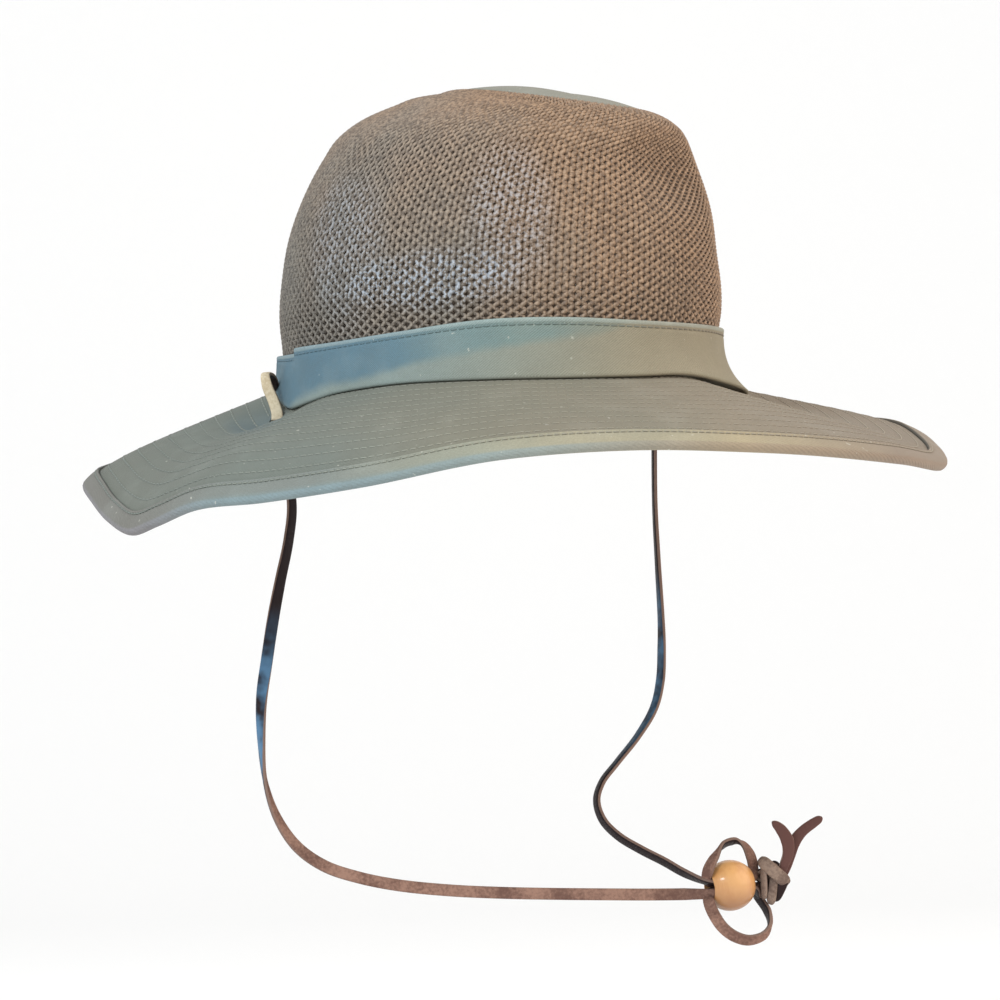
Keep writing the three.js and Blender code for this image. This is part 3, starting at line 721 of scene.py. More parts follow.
left_way = join_ways(
    (upright(-1, -1), [262] * 2, [LACE_WIDE] * 2), fall,
    (through(1, -1), [250, 320, 390], [3.8, IN_BEAD_WIDE, 3.6]), high,
    (through(1, 1), [380, 364, 360], [3.6, IN_BEAD_WIDE, IN_BEAD_WIDE]),
    ([in_bead(INTO_KNOT, 1, 1)], [360], [3.4]))
left_lace, left_line, left_long = lay_lace("chin_lace_left", *left_way, near_face, lace_tan, ["lace_left"])
print("lace ends are", round(right_long), "and", round(left_long), "mm long")

# %% The lace over the back of the brim
# at, out, above, turned
BACK_REST = [
    (105.4, 9.6, 8.5, 60), (106.2, 11.4, 14.4, 62), (108.6, 11.2, 17.8, 80), (111.6, 8.2, 14, 98),
    (114.4, 6.3, 8.4, 98), (118.5, 6.2, 4.4, 92), (128, 6.6, 3.2, 90), (143, 6.8, 3.1, 90),
    (160, 6.8, 3.1, 90), (180, 6.8, 3.1, 90),
]


def rest_on_brim(row, side):
    """A place over the brim, so far out from the head opening and so high above the cloth."""
    turn = np.array(row[0] if side > 0 else 360 - row[0], float)
    place = brim_middle(turn, row[1] / (edge_size(2, turn) * (1 + EDGE_TUCK)))
    return place + row[2] * UP


one_side = [rest_on_brim(row, 1) for row in BACK_REST]
other_side = [rest_on_brim(row, -1) for row in BACK_REST[:-1]][::-1]
back_places = upright(1, 1) + one_side + other_side + upright(-1, 1)[::-1]
one_turned = [68, 70] + [row[3] for row in BACK_REST]
back_turned = one_turned + one_turned[:-1][::-1]
back_wide = np.interp(np.arange(len(back_turned)), [0, 3, 4, 5, 8], [4.6, 4.2, 3.4, 3.8, LACE_WIDE])


def hat_face(line):
    """Outwards from the hat's upright axis, at every place of a line."""
    return unit(line * [1, 1, 0])


lay_lace("lace_over_brim", back_places, back_turned, back_wide, hat_face, lace_pale, ["lace_back"])

# %% [markdown]
# ## The top of the crown
# The seam of the canvas top lies a little way in from the crown's shoulder. The net runs up the wall, turns
# over the shoulder and rises a little to the seam. Inside the seam the canvas makes a low dome with a soft
# crease.

# %% Crown top surface
SEAM_SPREAD = 0.77
SHOULDER_RISE = 2.6
DOME_RISE = 4.6


def top_face(turn, spread):
    """The top's outer face, from its middle (spread 0) to the shoulder (1). Over the shoulder it rises as
    w (2 - w), where w grows evenly from 0 at the shoulder to 1 at the seam. Inside the seam the dome rises
    as 1 - (spread / seam's spread)^2."""
    turn, spread = paired(turn, spread)
    middle = crown_face(np.array([0.0, 90, 180, 270]), SEAM_UP).mean(axis=0)
    shoulder = crown_face(turn, SEAM_UP)
    point = middle + (shoulder - middle) * spread[..., None]
    w = np.minimum((1 - spread) / (1 - SEAM_SPREAD), 1)
    dome = DOME_RISE * np.maximum(1 - (spread / SEAM_SPREAD) ** 2, 0)
    crease = 1.2 * bell(point[..., 0] - middle[0], 9) * np.clip(1 - (spread / SEAM_SPREAD) ** 4, 0, 1)
    point[..., 2] += SEWN_GAP * w + SHOULDER_RISE * w * (2 - w) + dome - crease
    return point


# %% [markdown]
# ## The net
# The net is knitted from zigzag yarns. Each yarn swings to one side and back once a row, and its neighbours
# swing the other way, so neighbours touch twice a row and leave a small hole in between. The strands that
# rise to the viewer's right lie a little above the ones that rise to the left. The net is stretched open
# just over the band and on the front's left, and it is nearly closed at the back.

# %% Net yarns
YARNS = 224
NET_ROWS = 38
NET_STEPS = 6
NET_CORNERS = 5
NET_DEEP = 0.9
YARN_THICK = 0.62
SHOULDER_LONG = 12


def net_face(turn, height):
    """The net's outer face: the crown's wall up to its shoulder, then in over it to the seam."""
    turn, height = paired(turn, height)
    wall = crown_face(turn, np.minimum(height, SEAM_UP))
    inward = np.clip((height - SEAM_UP) / SHOULDER_LONG, 0, 1) * (1 - SEAM_SPREAD)
    return np.where((height > SEAM_UP)[..., None], top_face(turn, 1 - inward), wall)


around = np.linspace(0, 360, 1441)
ring_share = lengths_along(crown_face(around, 47.0))
ring_share = ring_share / ring_share[-1]
net_heights = np.linspace(NET_FOOT + 0.2, SEAM_UP + SHOULDER_LONG, 260)
slopes = np.mean([lengths_along(net_face(t, net_heights)) for t in range(0, 360, 15)], axis=0)
row_share = slopes / slopes[-1]


def openness(turn, up):
    """How open the net is: 1 just over the band and on the front's left, less above and 0 behind."""
    front = np.clip(np.cos(np.radians(turn - 25)) * 1.6 + 0.55, 0, 1)
    stretched = 0.6 + 0.6 * bell(np.maximum(up - 27, 0), 8) + 0.62 * bell(turn_between(turn, 322), 34)
    stretched = stretched + 0.35 * bell(up - 104, 12) * bell(turn_between(turn, 350), 30)
    return front * np.clip(stretched, 0, 1)


def net_rings(first, last):
    """Rings of the yarns from first to last. Yarn i lies at (i + 1/2 + swing cos(2 pi row)) / count of the
    way round, and every second yarn swings the other way."""
    i = np.arange(first, last)[:, None]
    sign = np.where(i % 2 == 0, 1.0, -1.0)
    row = np.arange(NET_ROWS * NET_STEPS + 1)[None, :] / NET_STEPS
    up = np.interp(row / NET_ROWS, row_share, net_heights)
    centre = np.interp(np.mod((i + 0.5) / YARNS, 1), ring_share, around)
    open_here = openness(centre, up)
    swing = 0.03 + 0.29 * open_here
    share = (i + 0.5 + sign * swing * np.cos(2 * np.pi * row)) / YARNS
    turn = np.interp(np.mod(share, 1), ring_share, around)
    up = np.broadcast_to(up, turn.shape)
    rise = 0.15 + 0.4 * bell(turn_between(turn, 322), 38)
    out = face_normal(net_face, turn, np.clip(up, 1, SEAM_UP + SHOULDER_LONG - 1), 1.0)
    line = net_face(turn, up) - out * (NET_DEEP - rise * sign * np.sin(2 * np.pi * row))[..., None]
    ahead = unit(np.gradient(line, axis=1))
    across = unit(np.cross(ahead, out))
    out = np.cross(across, ahead)
    pitch = np.linalg.norm(net_face(turn + 0.5, up) - net_face(turn - 0.5, up), axis=-1) * 360 / YARNS
    angle = np.linspace(0, 2 * np.pi, NET_CORNERS, endpoint=False) + np.pi / 2
    share_wide = 0.545 - 0.25 * open_here
    wide = (share_wide * pitch + 0.06)[..., None, None] * np.cos(angle)[:, None]
    thick = YARN_THICK * np.sin(angle)[:, None]
    return line[:, :, None] + across[:, :, None] * wide + out[:, :, None] * thick, lengths_along(line[0])


def spot(place, right, up, half_right, half_up):
    """1 at a place on the hat's near side, 0 outside an oval round it, in metres along RIGHT and UP."""
    across = (toward(place, RIGHT) - right) / half_right
    rise = (toward(place, UP) - up) / half_up
    near_side = between(toward(place, NEAR), 0.0, 0.03)
    return (1 - between(across * across + rise * rise, 0.1, 1.0)) * near_side


def net_finish():
    """Brown yarn with paler and darker fibres at random. Over it lies painted light: a grey share that
    stands for cool light, growing towards the wearer's right and lower down, painted shade on that side and
    on the yarns' inner side, and three glossier spots with painted bluish glints."""
    finish, shader, place = new_finish("net yarn", Specular_IOR_Level=0.5)
    across, along, _ = cloth_map(place)
    cloud = noise(place, 26, 3)
    fleck = noise(place, 700, 3, 0.6)
    # the brown and grey copies are the yarn under warm and under cool light; the grey share is painted cool
    # light
    brown = mixed(between(fleck, 0.35, 0.65), paint(110, 87, 68), paint(160, 131, 105))
    grey = mixed(between(fleck, 0.35, 0.65), paint(90, 84, 77), paint(136, 128, 117))
    cool_light_share = 0.64 - toward(place, RIGHT) * 5.4 - toward(place, UP) * 3.8 + (cloud - 0.5) * 0.9
    colour = mixed(between(cool_light_share, 0.0, 1.0), brown, grey)
    # painted shade towards the viewer's left
    shade = 1 - between(toward(place, RIGHT), -0.086, -0.03)
    colour = mixed(shade * 0.3, colour, paint(58, 54, 50))
    # painted highlight: bluish glints on the fibres in three spots, which are also less rough
    gloss_and_painted_glint = (spot(place, -0.024, 0.041, 0.036, 0.014) * 1.7 + spot(place, 0.005, 0.064, 0.02, 0.034)
             + spot(place, -0.056, 0.056, 0.018, 0.036))
    colour = mixed(gloss_and_painted_glint * between(fleck, 0.46, 0.6) * 0.34, colour, paint(160, 174, 190))
    # painted shade on the inward half of each yarn, so the net's inside reads dark
    inner = between(across, 0.26, 0.36) * (1 - between(across, 0.64, 0.74))
    colour = mixed(inner * 0.65, colour, paint(40, 33, 29))
    feed(shader, "Base Color", colour)
    feed(shader, "Roughness", 0.45 + fleck * 0.25 - gloss_and_painted_glint * 0.12)
    raised(shader, wave(along + across * 0.0012, 0.0012) * 0.5 + fleck, 0.0002, 0.5)
    return finish


net_yarn = net_finish()
thirds = [0, 75, 149, YARNS]
for name, first, last in zip(["net_right", "net_back", "net_left"], thirds[:-1], thirds[1:]):
    rings, along = net_rings(first, last)
    tube_piece(name, rings, [along] * (last - first), net_yarn, ["crown_mesh"])

# %% [markdown]
# ## Canvas
# The top, the band, the brim and its bound edge are one canvas, a twill of sage green and sand. The twill's
# fine ribs run across the map, its colour drifts softly, and a few pale specks of lint lie in it. From the
# viewer's left to the right the colour also runs from blue-grey to sand: that run is the cloth's own tones
# with painted cool light on the left and painted warm light on the right.

# %% Canvas finish
def fading(place, stops):
    """Colours along RIGHT, from -150 mm (0) to 150 mm (1), with their borders blurred by a cloud. Each stop
    is its place and its red, green and blue. The stops carry painted cool light towards the viewer's left
    and painted warm light towards the right."""
    cloud = noise(place, 14, 3)
    where = toward(place, RIGHT) / 0.3 + 0.5 + (cloud - 0.5) * 0.35
    painted = [(stop, paint(*colour)) for stop, *colour in stops]
    return where.node("ShaderNodeValToRGB", {"stops": painted}, {0: where})


def canvas_finish(name, stops, ribs=0.0011, rib_depth=0.6, extra=None):
    """A twill: ribs along (across + along), colour from the fading, and a few pale specks."""
    finish, shader, place = new_finish(name, Specular_IOR_Level=0.25, Sheen_Weight=0.05)
    across, along, _ = cloth_map(place)
    weave = noise(place, 1500, 2)
    worn = noise(place, 90, 3)
    colour = fading(place, stops)
    colour = mixed(between(noise(place, 55, 3), 0.5, 0.7) * 0.05, colour, paint(196, 200, 192))
    if extra:
        colour = extra(place, along, colour)
    colour = mixed(between(weave * 0.6 + worn * 0.4, 0.3, 0.7) * 0.22, colour, paint(92, 88, 78))
    specks = between(noise(place, 420, 1), 0.75, 0.79)
    colour = mixed(specks * 0.45, colour, paint(196, 194, 182))
    feed(shader, "Base Color", colour)
    feed(shader, "Roughness", 0.8 + weave * 0.15)
    twill = wave(across + along, ribs) * rib_depth
    raised(shader, twill + weave * 0.8 + worn * 1.2, 0.00022, 0.5)
    return finish


def band_sand(place, along, colour):
    """Sand, the cloth's own colour, on the band's lower part: nothing by the right ear, and up to the top
    further on. Above it the band keeps the painted cool light of its stops, and its folded top edge gets a
    painted highlight.
    """
    height = (toward(place, RIGHT) + 0.09) * 0.15 + (noise(place, 34, 3) - 0.5) * 0.012
    sand = mixed(between(toward(place, RIGHT), -0.05, 0.06), paint(134, 145, 139), paint(146, 138, 118))
    colour = mixed((1 - between(along - height, -0.003, 0.003)) * 0.9, colour, sand)
    # painted highlight along the band's folded top edge
    fold = between(along, 0.0226, 0.0236) * (1 - between(along, 0.0262, 0.027))
    return mixed(fold * 0.4, colour, paint(170, 182, 178))


def hem_painted_light(place, along, colour):
    """Painted light on the hem: a painted bluish sheen of cool light on its rounded outer edge, strongest
    by the right ear; a painted strip round the edge that runs from cool on the viewer's left to warm on the
    right;
    and a painted shadow line along the sewn inner edge.
    """
    # painted cool light on the rounded outer edge
    edge = between(along, 0.0068, 0.0102)
    where = toward(place, RIGHT)
    side = between(where, -0.13, -0.09) * (1 - between(where, -0.05, 0.03))
    colour = mixed(edge * side * 0.45, colour, paint(116, 138, 142))
    # painted light on a strip round the edge, cool on the left and warm on the right
    strip = between(along, 0.0084, 0.0096) * (1 - between(along, 0.0126, 0.0136))
    bottom = mixed(between(where, -0.14, -0.1), paint(132, 128, 136), paint(124, 142, 148))
    bottom = mixed(between(where, 0.01, 0.08), bottom, paint(140, 122, 108))
    colour = mixed(strip * 0.5, colour, bottom)
    # painted shadow line along the sewn inner edge
    seam = 1 - between(along, 0.0008, 0.0013)
    return mixed(seam * 0.7, colour, paint(62, 64, 58))


def brim_painted_shadow(place, _, colour):
    """A painted bluish shadow on the brim round the wearer's right-hand hole."""
    # painted shadow
    patch = spot(place, -0.095, -0.0065, 0.016, 0.0085)
    return mixed(patch * 0.65, colour, paint(82, 100, 106))


# Each canvas's stops run from cooler and darker on the viewer's left to warm sand on the right: painted
# cool light and painted shade on the left, painted warm light on the right, over the cloth's own sage and
# sand.
canvas_top = canvas_finish("canvas of the top", [(0, 126, 130, 122), (1, 142, 136, 122)])
# the band's blue towards the viewer's left is painted cool light over the sage cloth
canvas_band = canvas_finish("canvas of the band", [
    (0.2, 79, 110, 126), (0.33, 94, 121, 132), (0.5, 119, 137, 133), (0.68, 134, 129, 110),
    (0.8, 126, 115, 97)], extra=band_sand)
canvas_brim = canvas_finish("canvas of the brim", [
    (0, 106, 109, 101), (0.2, 106, 112, 105), (0.5, 119, 116, 102), (0.75, 134, 123, 106),
    (1, 132, 120, 106)], extra=brim_painted_shadow)
canvas_hem = canvas_finish("canvas of the hem", [
    (0, 112, 110, 104), (0.2, 119, 124, 119), (0.5, 143, 143, 127), (0.75, 164, 151, 124),
    (1, 138, 124, 110)], 0.0014, 0.7, hem_painted_light)


def thread_finish(name, stops):
    """Thread, in its own run of colours."""
    finish, shader, place = new_finish(name, Roughness=0.6)
    feed(shader, "Base Color", fading(place, stops))
    return finish


# the threads' stops carry the same painted cool light on the left and painted warm light on the right
band_thread = thread_finish("thread of the band", [
    (0.2, 72, 100, 114), (0.5, 96, 112, 108), (0.8, 112, 103, 88)])
brim_thread = thread_finish("thread of the brim", [
    (0.1, 108, 113, 106), (0.3, 132, 135, 124), (0.5, 140, 137, 122), (0.8, 142, 131, 115)])
print("four canvases and two threads")


# %% Canvas top
def disc_piece(name, rows, top, bottom, finish, stands_for):
    """A closed round sheet: rows[section, direction] run from near the top's middle to the bottom's."""
    sections, count, _ = rows.shape
    points = np.concatenate([rows.reshape(-1, 3), [top, bottom]])
    faces = grid_faces(sections, count, False, True)
    fans = end_fans(count, (sections - 1) * count, sections * count)
    if inside_out(points, faces):
        faces, fans = faces[:, ::-1], fans[:, ::-1]
    flat = points[:, :2] * MM
    return make_piece(name, points, [faces, fans], [flat[faces], flat[fans]], finish, stands_for)


TOP_THICK = 1.6
turns = np.arange(0, 360, 2.5)
over = [top_face(turns, spread) for spread in np.linspace(0.05, SEAM_SPREAD, 20)]
over[-1] = over[-1] - UP * 0.15
edge = top_face(turns, SEAM_SPREAD + 0.02)
fold = [edge - UP * 0.55, edge - UP * 1.1, top_face(turns, SEAM_SPREAD) - UP * 1.7]
under = [top_face(turns, spread) - UP * TOP_THICK for spread in (0.72, 0.6, 0.4, 0.2, 0.05)]
rows = np.stack(over + fold + under)
middle = top_face(turns, 0.0)[0]
disc_piece("crown_top", rows, middle, middle - UP * TOP_THICK, canvas_top, ["crown_tip"])

# %% Band
JOINT = 99.5
BAND_SEAM = 0.9


def band_face(turn, part):
    """The band's outer face from its foot (part 0) to its top (1). Its two ends overlap at the joint. The
    foot follows the brim's cloth, a little lower by the right ear, where the brim falls steeply."""
    turn, part = paired(turn, part)
    past = np.mod(turn - JOINT, 360)
    under_end = bell(past, 45)
    over_end = bell(360 - past, 22)
    rests_at = 0.02 + 0.028 * bell(turn_between(turn, 90), 13)
    foot = brim_middle(turn, rests_at)[..., 2] + BRIM_THICK * 0.62 + SEWN_GAP
    top = foot_size(2, turn) - 2.0 * under_end
    up = foot + (top - foot) * part
    point = crown_face(turn, np.maximum(up, 0))
    flare = foot_size(3, turn) * (1 - part) ** 3
    puff = 0.35 * np.sin(np.pi * np.clip(part, 0, 1))
    puff = puff + 0.25 * np.sin(np.radians(turn * 11)) * np.sin(np.pi * part)
    groove = 0.35 * bell(part - BAND_SEAM, 0.03)
    out = BAND_CLEAR + BAND_THICK + flare + puff - groove + 0.7 * over_end
    point = point + outward(turn) * out[..., None]
    point[..., 2] = up
    return point


by_joint = JOINT + np.array([-0.3, -0.12, 0.0, 0.01, 0.12, 0.3])
turns = np.unique(np.concatenate([np.arange(0, 360, 1.5), by_joint]))
outer = [band_face(turns, part) for part in np.linspace(0.02, 0.98, 22)]
level = outward(turns)


def rounded(edge, inner, way):
    """A folded edge: a half circle from the outer face over to the inner one."""
    middle = (edge + inner) / 2
    half = (edge - inner) / 2
    arc = np.radians([35, 65, 90, 115, 145])
    return [middle + half * math.cos(a) + way * UP * 0.85 * math.sin(a) for a in arc]


def band_back(part):
    """The band's inner face, the cloth's thickness inside the outer one."""
    return band_face(turns, part) - level * BAND_THICK


inner = [band_back(part) for part in np.linspace(0.98, 0.02, 8)]
rows = np.stack(outer + rounded(outer[-1], inner[0], 1) + inner
                + rounded(outer[0], inner[-1], -1)[::-1])
along = np.concatenate([np.linspace(0, 24, 22), 24 + np.arange(1, 6) * 0.5, 27 + np.linspace(0, 24, 8),
                        np.linspace(-2.5, -0.5, 5)])
ring_piece("band_cloth", rows, turns, along, canvas_band, ["hat_band"])

# %% Stitches
STITCH_WIDE = 0.55


def stitch_rings(line, out, pitch=3.2, long=2.5, high=0.32):
    """A row of stitches along a closed line: each dips in, runs over the cloth and dips in again."""
    loop = np.vstack([line, line[:1]])
    loop_out = np.vstack([out, out[:1]])
    far = lengths_along(loop)
    count = int(far[-1] / pitch)
    starts = (np.arange(count) + 0.5) * far[-1] / count
    marks = np.mod(starts[:, None] + np.array([-0.5, -0.32, 0.32, 0.5]) * long, far[-1])
    places = np.stack([np.interp(marks, far, loop[:, k]) for k in range(3)], axis=-1)
    normal = unit(np.stack([np.interp(marks, far, loop_out[:, k]) for k in range(3)], axis=-1))
    places = places + normal * np.array([-0.35, 1, 1, -0.35])[None, :, None] * high * 0.5
    ahead = unit(places[:, 2:3] - places[:, 1:2])
    across = unit(np.cross(ahead, normal))
    angle = np.radians([45, 135, 225, 315])
    return (places[:, :, None] + across[:, :, None] * (np.cos(angle) * STITCH_WIDE * 0.7)[:, None]
            + normal[:, :, None] * (np.sin(angle) * high * 0.7)[:, None])


def sew(name, rings, finish, stands_for):
    """Stitches as one piece, each a small tube."""
    along = np.tile(np.linspace(0, 2.5, 4), (len(rings), 1))
    tube_piece(name, rings, along, finish, stands_for)


fine = np.arange(0, 360, 0.5)
line = band_face(fine, BAND_SEAM)
sew("band_stitches", stitch_rings(line, face_normal(band_face, fine, BAND_SEAM, 0.02)), band_thread,
    ["hat_band"])

# %% [markdown]
# ## The brim
# The brim is two layers of canvas sewn together with rings of stitches. Each ring pulls the cloth down, so
# the cloth puffs up a little between them. The outermost part is wrapped by the hem.

# %% Brim cloth
# the tongue is the thinner cloth inside the hem
TONGUE_THICK = 1.2
TONGUE_END = 0.965
RING_GAPS = 12.2
BRIM_RINGS = (np.arange(12) + 0.55) / RING_GAPS


def quilted(turn, share):
    """How far the cloth rises or sinks: it sinks at each ring of stitches and puffs between them."""
    reach = 0.9 * edge_size(2, turn)
    near = np.min(np.abs(share[..., None] - BRIM_RINGS), axis=-1) * reach
    return (0.03 - 0.14 * bell(near, 0.8)) * np.clip((1 - share) * 40, 0, 1)


def brim_part(turn, share):
    """Share 0 to 1 runs from the head opening to the hem, and 1 to 2 on into the hem's fold."""
    start = hem_start(turn)
    return np.where(share <= 1, share * start, start + (share - 1) * (TONGUE_END - start))


def brim_face(turn, share, side):
    """The brim's top (side 1) or underside (-1)."""
    turn, share = paired(turn, share)
    half = np.where(share > 1.01, TONGUE_THICK / 2, BRIM_THICK / 2 + quilted(turn, share))
    part = brim_part(turn, share)
    out = cloth_up(turn, part)
    return brim_middle(turn, part) + side * half[..., None] * out


turns = np.arange(0, 360, 1.2)
offsets = np.array([-1.5, -0.8, -0.35, 0, 0.35, 0.8, 1.5]) / 73
shares = np.unique(np.concatenate([[0.006, 0.014], (BRIM_RINGS[:, None] + offsets).ravel(),
                                   BRIM_RINGS[:-1] + 0.5 / RING_GAPS, [0.985, 0.995, 1.0, 1.02, 1.5, 2.0]]))
shares = shares[shares > 0]
top = [brim_face(turns, s, 1) for s in shares]
under = [brim_face(turns, s, -1) for s in shares]
opening = brim_middle(turns, 0.0)
rows = np.stack([opening] + top + [brim_middle(turns, TONGUE_END + 0.004)] + under[::-1])
print("brim has", len(rows), "rows of", len(turns))
brim = ring_piece("brim_cloth", rows, turns, np.arange(len(rows)), canvas_brim, ["brim"],
                  flat_map=True)

# %% Lace holes
HOLE_ACROSS = 6.4
PLUG_CORNERS = 32


def cut_hole(piece, middle, across):
    """Takes an upright round plug out of a piece, and keeps its map."""
    plug = bpy.data.meshes.new("plug")
    angle = np.linspace(0, 2 * np.pi, PLUG_CORNERS, endpoint=False)
    disc = np.stack([np.cos(angle) * across / 2, np.sin(angle) * across / 2, 0 * angle], axis=1)
    points = np.vstack([middle + disc - 8 * UP, middle + disc + 8 * UP]) * MM
    walls = grid_faces(2, PLUG_CORNERS, False, True)
    ends = [list(range(PLUG_CORNERS))[::-1], list(range(PLUG_CORNERS, 2 * PLUG_CORNERS))]
    plug.from_pydata(points.tolist(), [], walls.tolist() + ends)
    cutter = bpy.data.objects.new("plug", plug)
    bpy.context.scene.collection.objects.link(cutter)
    cut = piece.modifiers.new("hole", "BOOLEAN")
    cut.operation = "DIFFERENCE"
    cut.solver = "EXACT"
    cut.object = cutter
    view = bpy.context.evaluated_depsgraph_get()
    holed = bpy.data.meshes.new_from_object(piece.evaluated_get(view))
    piece.modifiers.clear()
    piece.data = holed
    bpy.data.objects.remove(cutter)
    return len(holed.vertices)


for side in (1, -1):
    print("brim after hole:", cut_hole(brim, hole_middle(side), HOLE_ACROSS), "points")

# %% Brim stitches
rows = []
for share in BRIM_RINGS:
    up = cloth_up(fine, brim_part(fine, np.full_like(fine, share)))
    rings = stitch_rings(brim_face(fine, share, 1), up, high=0.24)
    for side in (1, -1):
        off = (rings.mean(axis=(1, 2)) - hole_middle(side))[:, :2]
        rings = rings[np.linalg.norm(off, axis=1) > HOLE_ACROSS / 2 + 2]
    rows.append(rings)
sew("brim_stitches", np.concatenate(rows), brim_thread, ["brim"])

# %% [markdown]
# ## The hem
# A strip of the same canvas is folded over the brim's edge. It is thickest at its rounded outer edge, and
# its inner edges are sewn down through the brim.

# %% Hem
HEM_IN = 1.0
HEM_OUT = 2.0
# part of the hem, off from the cloth's middle
HEM_SECTION = [
    (0.006, HEM_IN), (0.0, 1.35), (0.004, 1.8), (0.03, 2.15), (0.075, 2.24), (0.12, 2.08), (0.16, 1.68),
    (0.2, 1.8), (0.27, 2.0), (0.4, 2.05), (0.55, 2.04), (0.7, 1.98), (0.84, 1.92), (0.93, 1.6),
    (0.98, 1.1), (1.0, 0.55), (1.004, 0), (1.0, -0.55), (0.98, -1.1), (0.93, -1.6), (0.84, -1.92),
    (0.7, -1.98), (0.5, -2.04), (0.27, -2.02), (0.2, -1.84), (0.16, -1.72), (0.12, -1.98),
    (0.03, -HEM_OUT), (0.004, -1.75), (0.0, -1.35), (0.006, -HEM_IN), (0.3, -HEM_IN), (0.6, -HEM_IN),
    (0.83, -HEM_IN), (0.83, HEM_IN), (0.6, HEM_IN), (0.3, HEM_IN),
]


def hem_face(turn, place, off):
    """A place on the hem: so far along its width, and so far off the middle of the cloth."""
    start = hem_start(turn)
    part = start + (1 - start) * place
    return brim_middle(turn, part) + off * cloth_up(turn, part)


turns = np.arange(0, 360, 1.0)
rows = np.stack([hem_face(turns, place, off) for place, off in HEM_SECTION])
along = lengths_along(rows[:, 0])
ring_piece("hem_cloth", rows, turns, along, canvas_hem, ["brim_hem"])

line = hem_face(fine, 0.16, 1.85)
sew("hem_stitches", stitch_rings(line, cloth_up(fine, np.full_like(fine, 0.9)), 2.6, 2.0), brim_thread,
    ["brim_hem"])

# %% [markdown]
# ## Bead, knot and tails
# The bead is a turned barrel with a wide bore, since the lace goes through it four times. Past it the two
# ends cross and wrap each other in a knot, and two short tails stick out of its top.

# %% Bead
BEAD_ACROSS = 20
BEAD_LONG = 20.8
BEAD_SLID = -0.6
BEAD_BORE = 10
MOUTH_WIDER = 0.6


def bead_finish():
    finish, shader, place = new_finish("waxed wood", Coat_Weight=0.5, Coat_Roughness=0.14)
    axial = toward(place, BEAD_AXIS)
    stretched = place.node("ShaderNodeMapping", {}, {"Vector": place, "Scale": (1.0, 1.0, 0.35)})
    grain = noise(stretched, 260, 4, 0.55)
    cloud = noise(place, 60, 3)
    figure = between(grain * 0.6 + cloud * 0.4, 0.38, 0.62)
    colour = mixed(figure, paint(206, 146, 86), paint(220, 166, 106))
    # painted shade: the wood darkens towards the bead's bottom
    height = toward(place, UP) - float(BEAD_AT[2]) * MM
    colour = mixed(between(height, -0.011, 0.007), paint(154, 106, 68), colour)
    feed(shader, "Base Color", colour)
    feed(shader, "Roughness", 0.42 + grain * 0.15)
    raised(shader, grain + wave(axial, 0.0012) * 0.15, 0.0001, 0.3)
    return finish


bore = BEAD_BORE / 2
mouth = bore + MOUTH_WIDER
start = math.asin(mouth / (BEAD_ACROSS / 2))
swing = np.linspace(start, math.pi - start, 26)
outline = np.stack([-BEAD_LONG / 2 * np.cos(swing), BEAD_ACROSS / 2 * np.sin(swing)], axis=1)
end = outline[-1, 0]
lip = np.array([(end - 0.12, mouth - 0.35), (end - 0.45, bore + 0.35), (end - 1.0, bore + 0.05),
                (end - 2.0, bore)])
outline = np.vstack([outline, lip, [(0.0, bore)], lip[::-1] * [-1, 1]])
angle = np.linspace(0, 2 * np.pi, 64, endpoint=False)
spoke = LANE_UP * np.cos(angle)[:, None] + LANE_NEAR * np.sin(angle)[:, None]
rows = BEAD_AT + (outline[:, :1, None] + BEAD_SLID) * BEAD_AXIS + outline[:, 1:, None] * spoke[None]
ring_piece("wooden_bead", rows, np.degrees(angle), lengths_along(rows[:, 0]), bead_finish(),
           ["bead"])


# %% Knot and tails
KNOT_AT = hanging([(103.4, -10.5, -189)])[0]


def loop_of_lace(middle, long_way, wide_way, half_long, half_wide, turned, wide, thick):
    """Rings of an oval turn of lace: middle + long cos a + wide sin a. Its smooth face looks into the loop
    before it is turned, and it is 0.35 narrower where it turns back at the oval's two ends."""
    a = np.linspace(0, 2 * np.pi, 48, endpoint=False)[:, None]
    line = middle + long_way * half_long * np.cos(a) + wide_way * half_wide * np.sin(a)
    ahead = unit(-long_way * half_long * np.sin(a) + wide_way * half_wide * np.cos(a))
    wide_here = wide * (1 - 0.35 * np.cos(a[:, 0]) ** 8)
    return strap_rings(line, ahead, unit(line - middle), turned, wide_here, thick, 0.7)


def knot_spot(right, near, up):
    return KNOT_AT + RIGHT * right + NEAR * near + UP * up


slant = unit(RIGHT * 0.74 - UP * 0.67)
rings = np.stack([
    loop_of_lace(knot_spot(0.2, 0, 2.4), slant, NEAR, 6.4, 4.4, 0, 5.2, 2.6),
    loop_of_lace(knot_spot(-4.0, 0.4, -1.8), UP, NEAR, 5.6, 3.0, 62, 3.6, 1.8),
    loop_of_lace(knot_spot(-0.7, -0.1, -4.6), unit(RIGHT * 0.12 + UP), NEAR, 5.2, 3.4, 12, 3.5, 1.9),
    loop_of_lace(knot_spot(2.6, -0.6, -4.2), unit(RIGHT * 0.5 + UP), NEAR, 4.8, 3.2, 180, 3.8, 1.9),
    loop_of_lace(knot_spot(-3.4, -2.4, 0.6), RIGHT, UP, 3.2, 2.2, 180, 3.6, 1.9),
    loop_of_lace(knot_spot(0.4, -1.0, 0.2), UP, RIGHT, 4.6, 1.6, 180, 5.6, 3.6),
])
along = [lengths_along(np.vstack([line, line[:1]])) for line in rings.mean(axis=2)]
tube_piece("chin_knot", rings, along, lace_worn, ["knot"], looped=True)

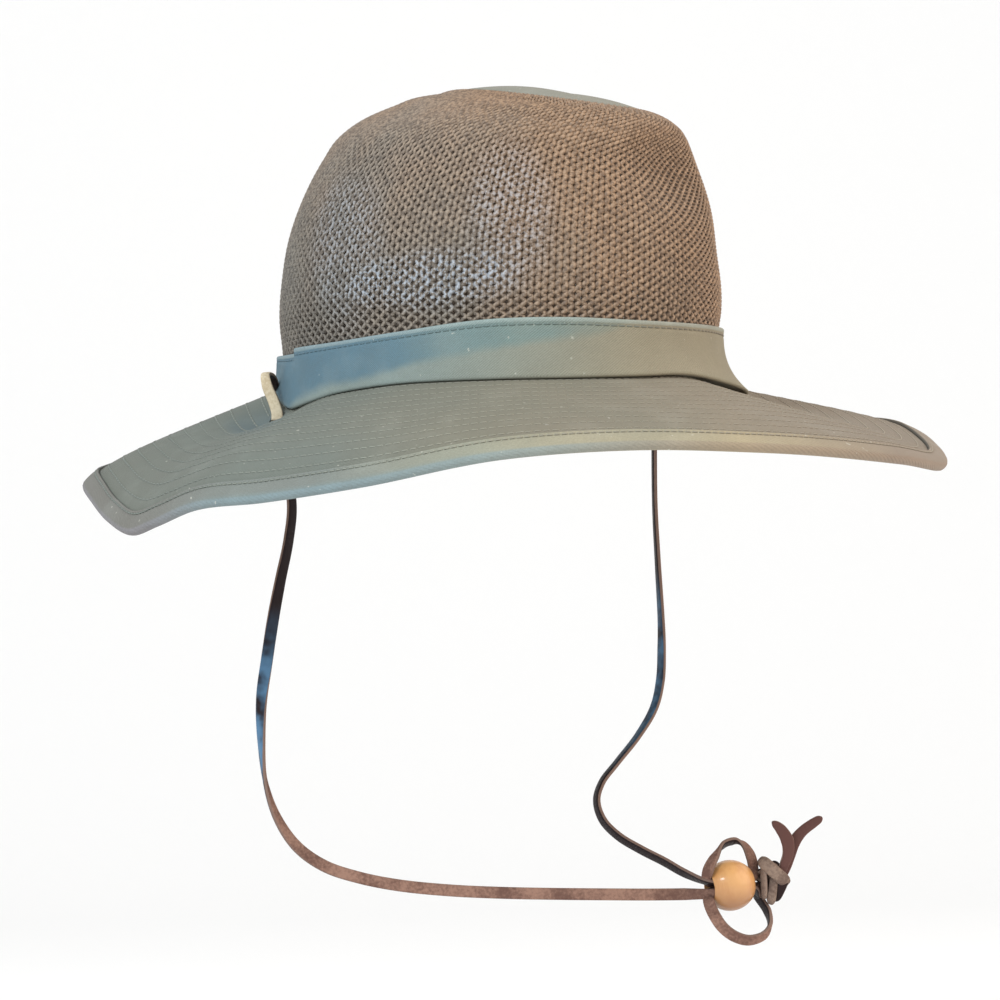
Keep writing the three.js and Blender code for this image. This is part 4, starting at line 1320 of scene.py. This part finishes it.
# right, near, up, turned
INNER_TAIL = [
    (105.6, -9.8, -188.5, 200), (107.6, -9.2, -184, 200), (109.2, -8.8, -179.6, 190),
    (109, -8.4, -174.5, 180), (106.5, -8.2, -170, 176), (103.2, -8, -166.9, 172),
]
OUTER_TAIL = [
    (106, -12, -190, 190), (108.4, -12, -185.5, 190), (110.2, -12.4, -180.5, 186),
    (111.9, -12.4, -175.6, 180), (115.2, -12.2, -171.4, 176), (119.4, -12, -168.3, 174),
    (123.3, -12, -165.9, 172),
]
TAILS = [("tail_short", INNER_TAIL, [3.4, 3.8, 4.4, 5.2, 4.4, 2.4], "tail_inner"),
         ("tail_long", OUTER_TAIL, [3.4, 3.8, 4.4, 5.0, 4.2, 3.9, 3.0], "tail_outer")]
for name, table, wide, node in TAILS:
    places, turned, _ = rows_of(table)
    lay_lace(name, places, turned, wide, near_face, lace_dark, [node], cut_round=2.2)

# %% [markdown]
# ## Floor and light
# The hat hangs over a pale floor that curves up into a backdrop. A large cool light comes from the viewer's
# left and front, a warm one from the right, and the room itself gives an even white.

# %% Stage
FLOOR = -300
BEND = 900
arc = np.linspace(0.12, math.pi / 2, 12)
depth = np.concatenate([np.linspace(2500, -1400, 14), -1400 - BEND * np.sin(arc), [-2300] * 6])
rise = np.concatenate([np.zeros(14), BEND - BEND * np.cos(arc), np.linspace(1200, 3500, 6)])
side = np.linspace(-3500, 3500, 15)
points = hanging(np.stack([np.tile(side, len(depth)), np.repeat(depth, len(side)),
                           np.repeat(rise, len(side)) + FLOOR], axis=1))
sheet = bpy.data.meshes.new("backdrop")
sheet.from_pydata((points * MM).tolist(), [], grid_faces(len(depth), len(side)).tolist())
sheet.polygons.foreach_set("use_smooth", np.ones(len(sheet.polygons), bool))
paper = new_finish("paper", Base_Color=(0.93, 0.93, 0.93, 1), Roughness=1.0, Specular_IOR_Level=0.0)
sheet.materials.append(paper[0])
backdrop = bpy.data.objects.new("backdrop", sheet)
bpy.context.scene.collection.objects.link(backdrop)

# %% Lights
def soft_light(name, place, target, size, power, colour):
    """A square lamp that looks at its target, in watts."""
    lamp = bpy.data.lights.new(name, "AREA")
    lamp.shape = "SQUARE"
    lamp.size = size * MM
    lamp.energy = power
    lamp.color = colour
    holder = bpy.data.objects.new(name, lamp)
    place, target = hanging([place])[0], hanging([target])[0]
    back = unit(place - target)
    left = unit(np.cross(UP, back))
    pose = np.eye(4)
    pose[:3, :3] = np.column_stack([left, np.cross(back, left), back])
    pose[:3, 3] = place * MM
    holder.matrix_world = Matrix(pose.tolist())
    bpy.context.scene.collection.objects.link(holder)


soft_light("cool light", (-700, 1050, 760), (0, 0, 0), 420, 14, (0.82, 0.93, 1.0))
soft_light("warm light", (1100, 300, 500), (0, 0, 0), 1300, 9.5, (1.0, 0.84, 0.66))

world = bpy.data.worlds.new("room")
bpy.context.scene.world = world
world.use_nodes = True
sky = next(node for node in world.node_tree.nodes if node.type == "BACKGROUND")
sky.inputs["Color"].default_value = (1.0, 1.0, 1.0, 1)
sky.inputs["Strength"].default_value = 0.9
bpy.context.scene.view_settings.view_transform = "Standard"
print("lights are set")
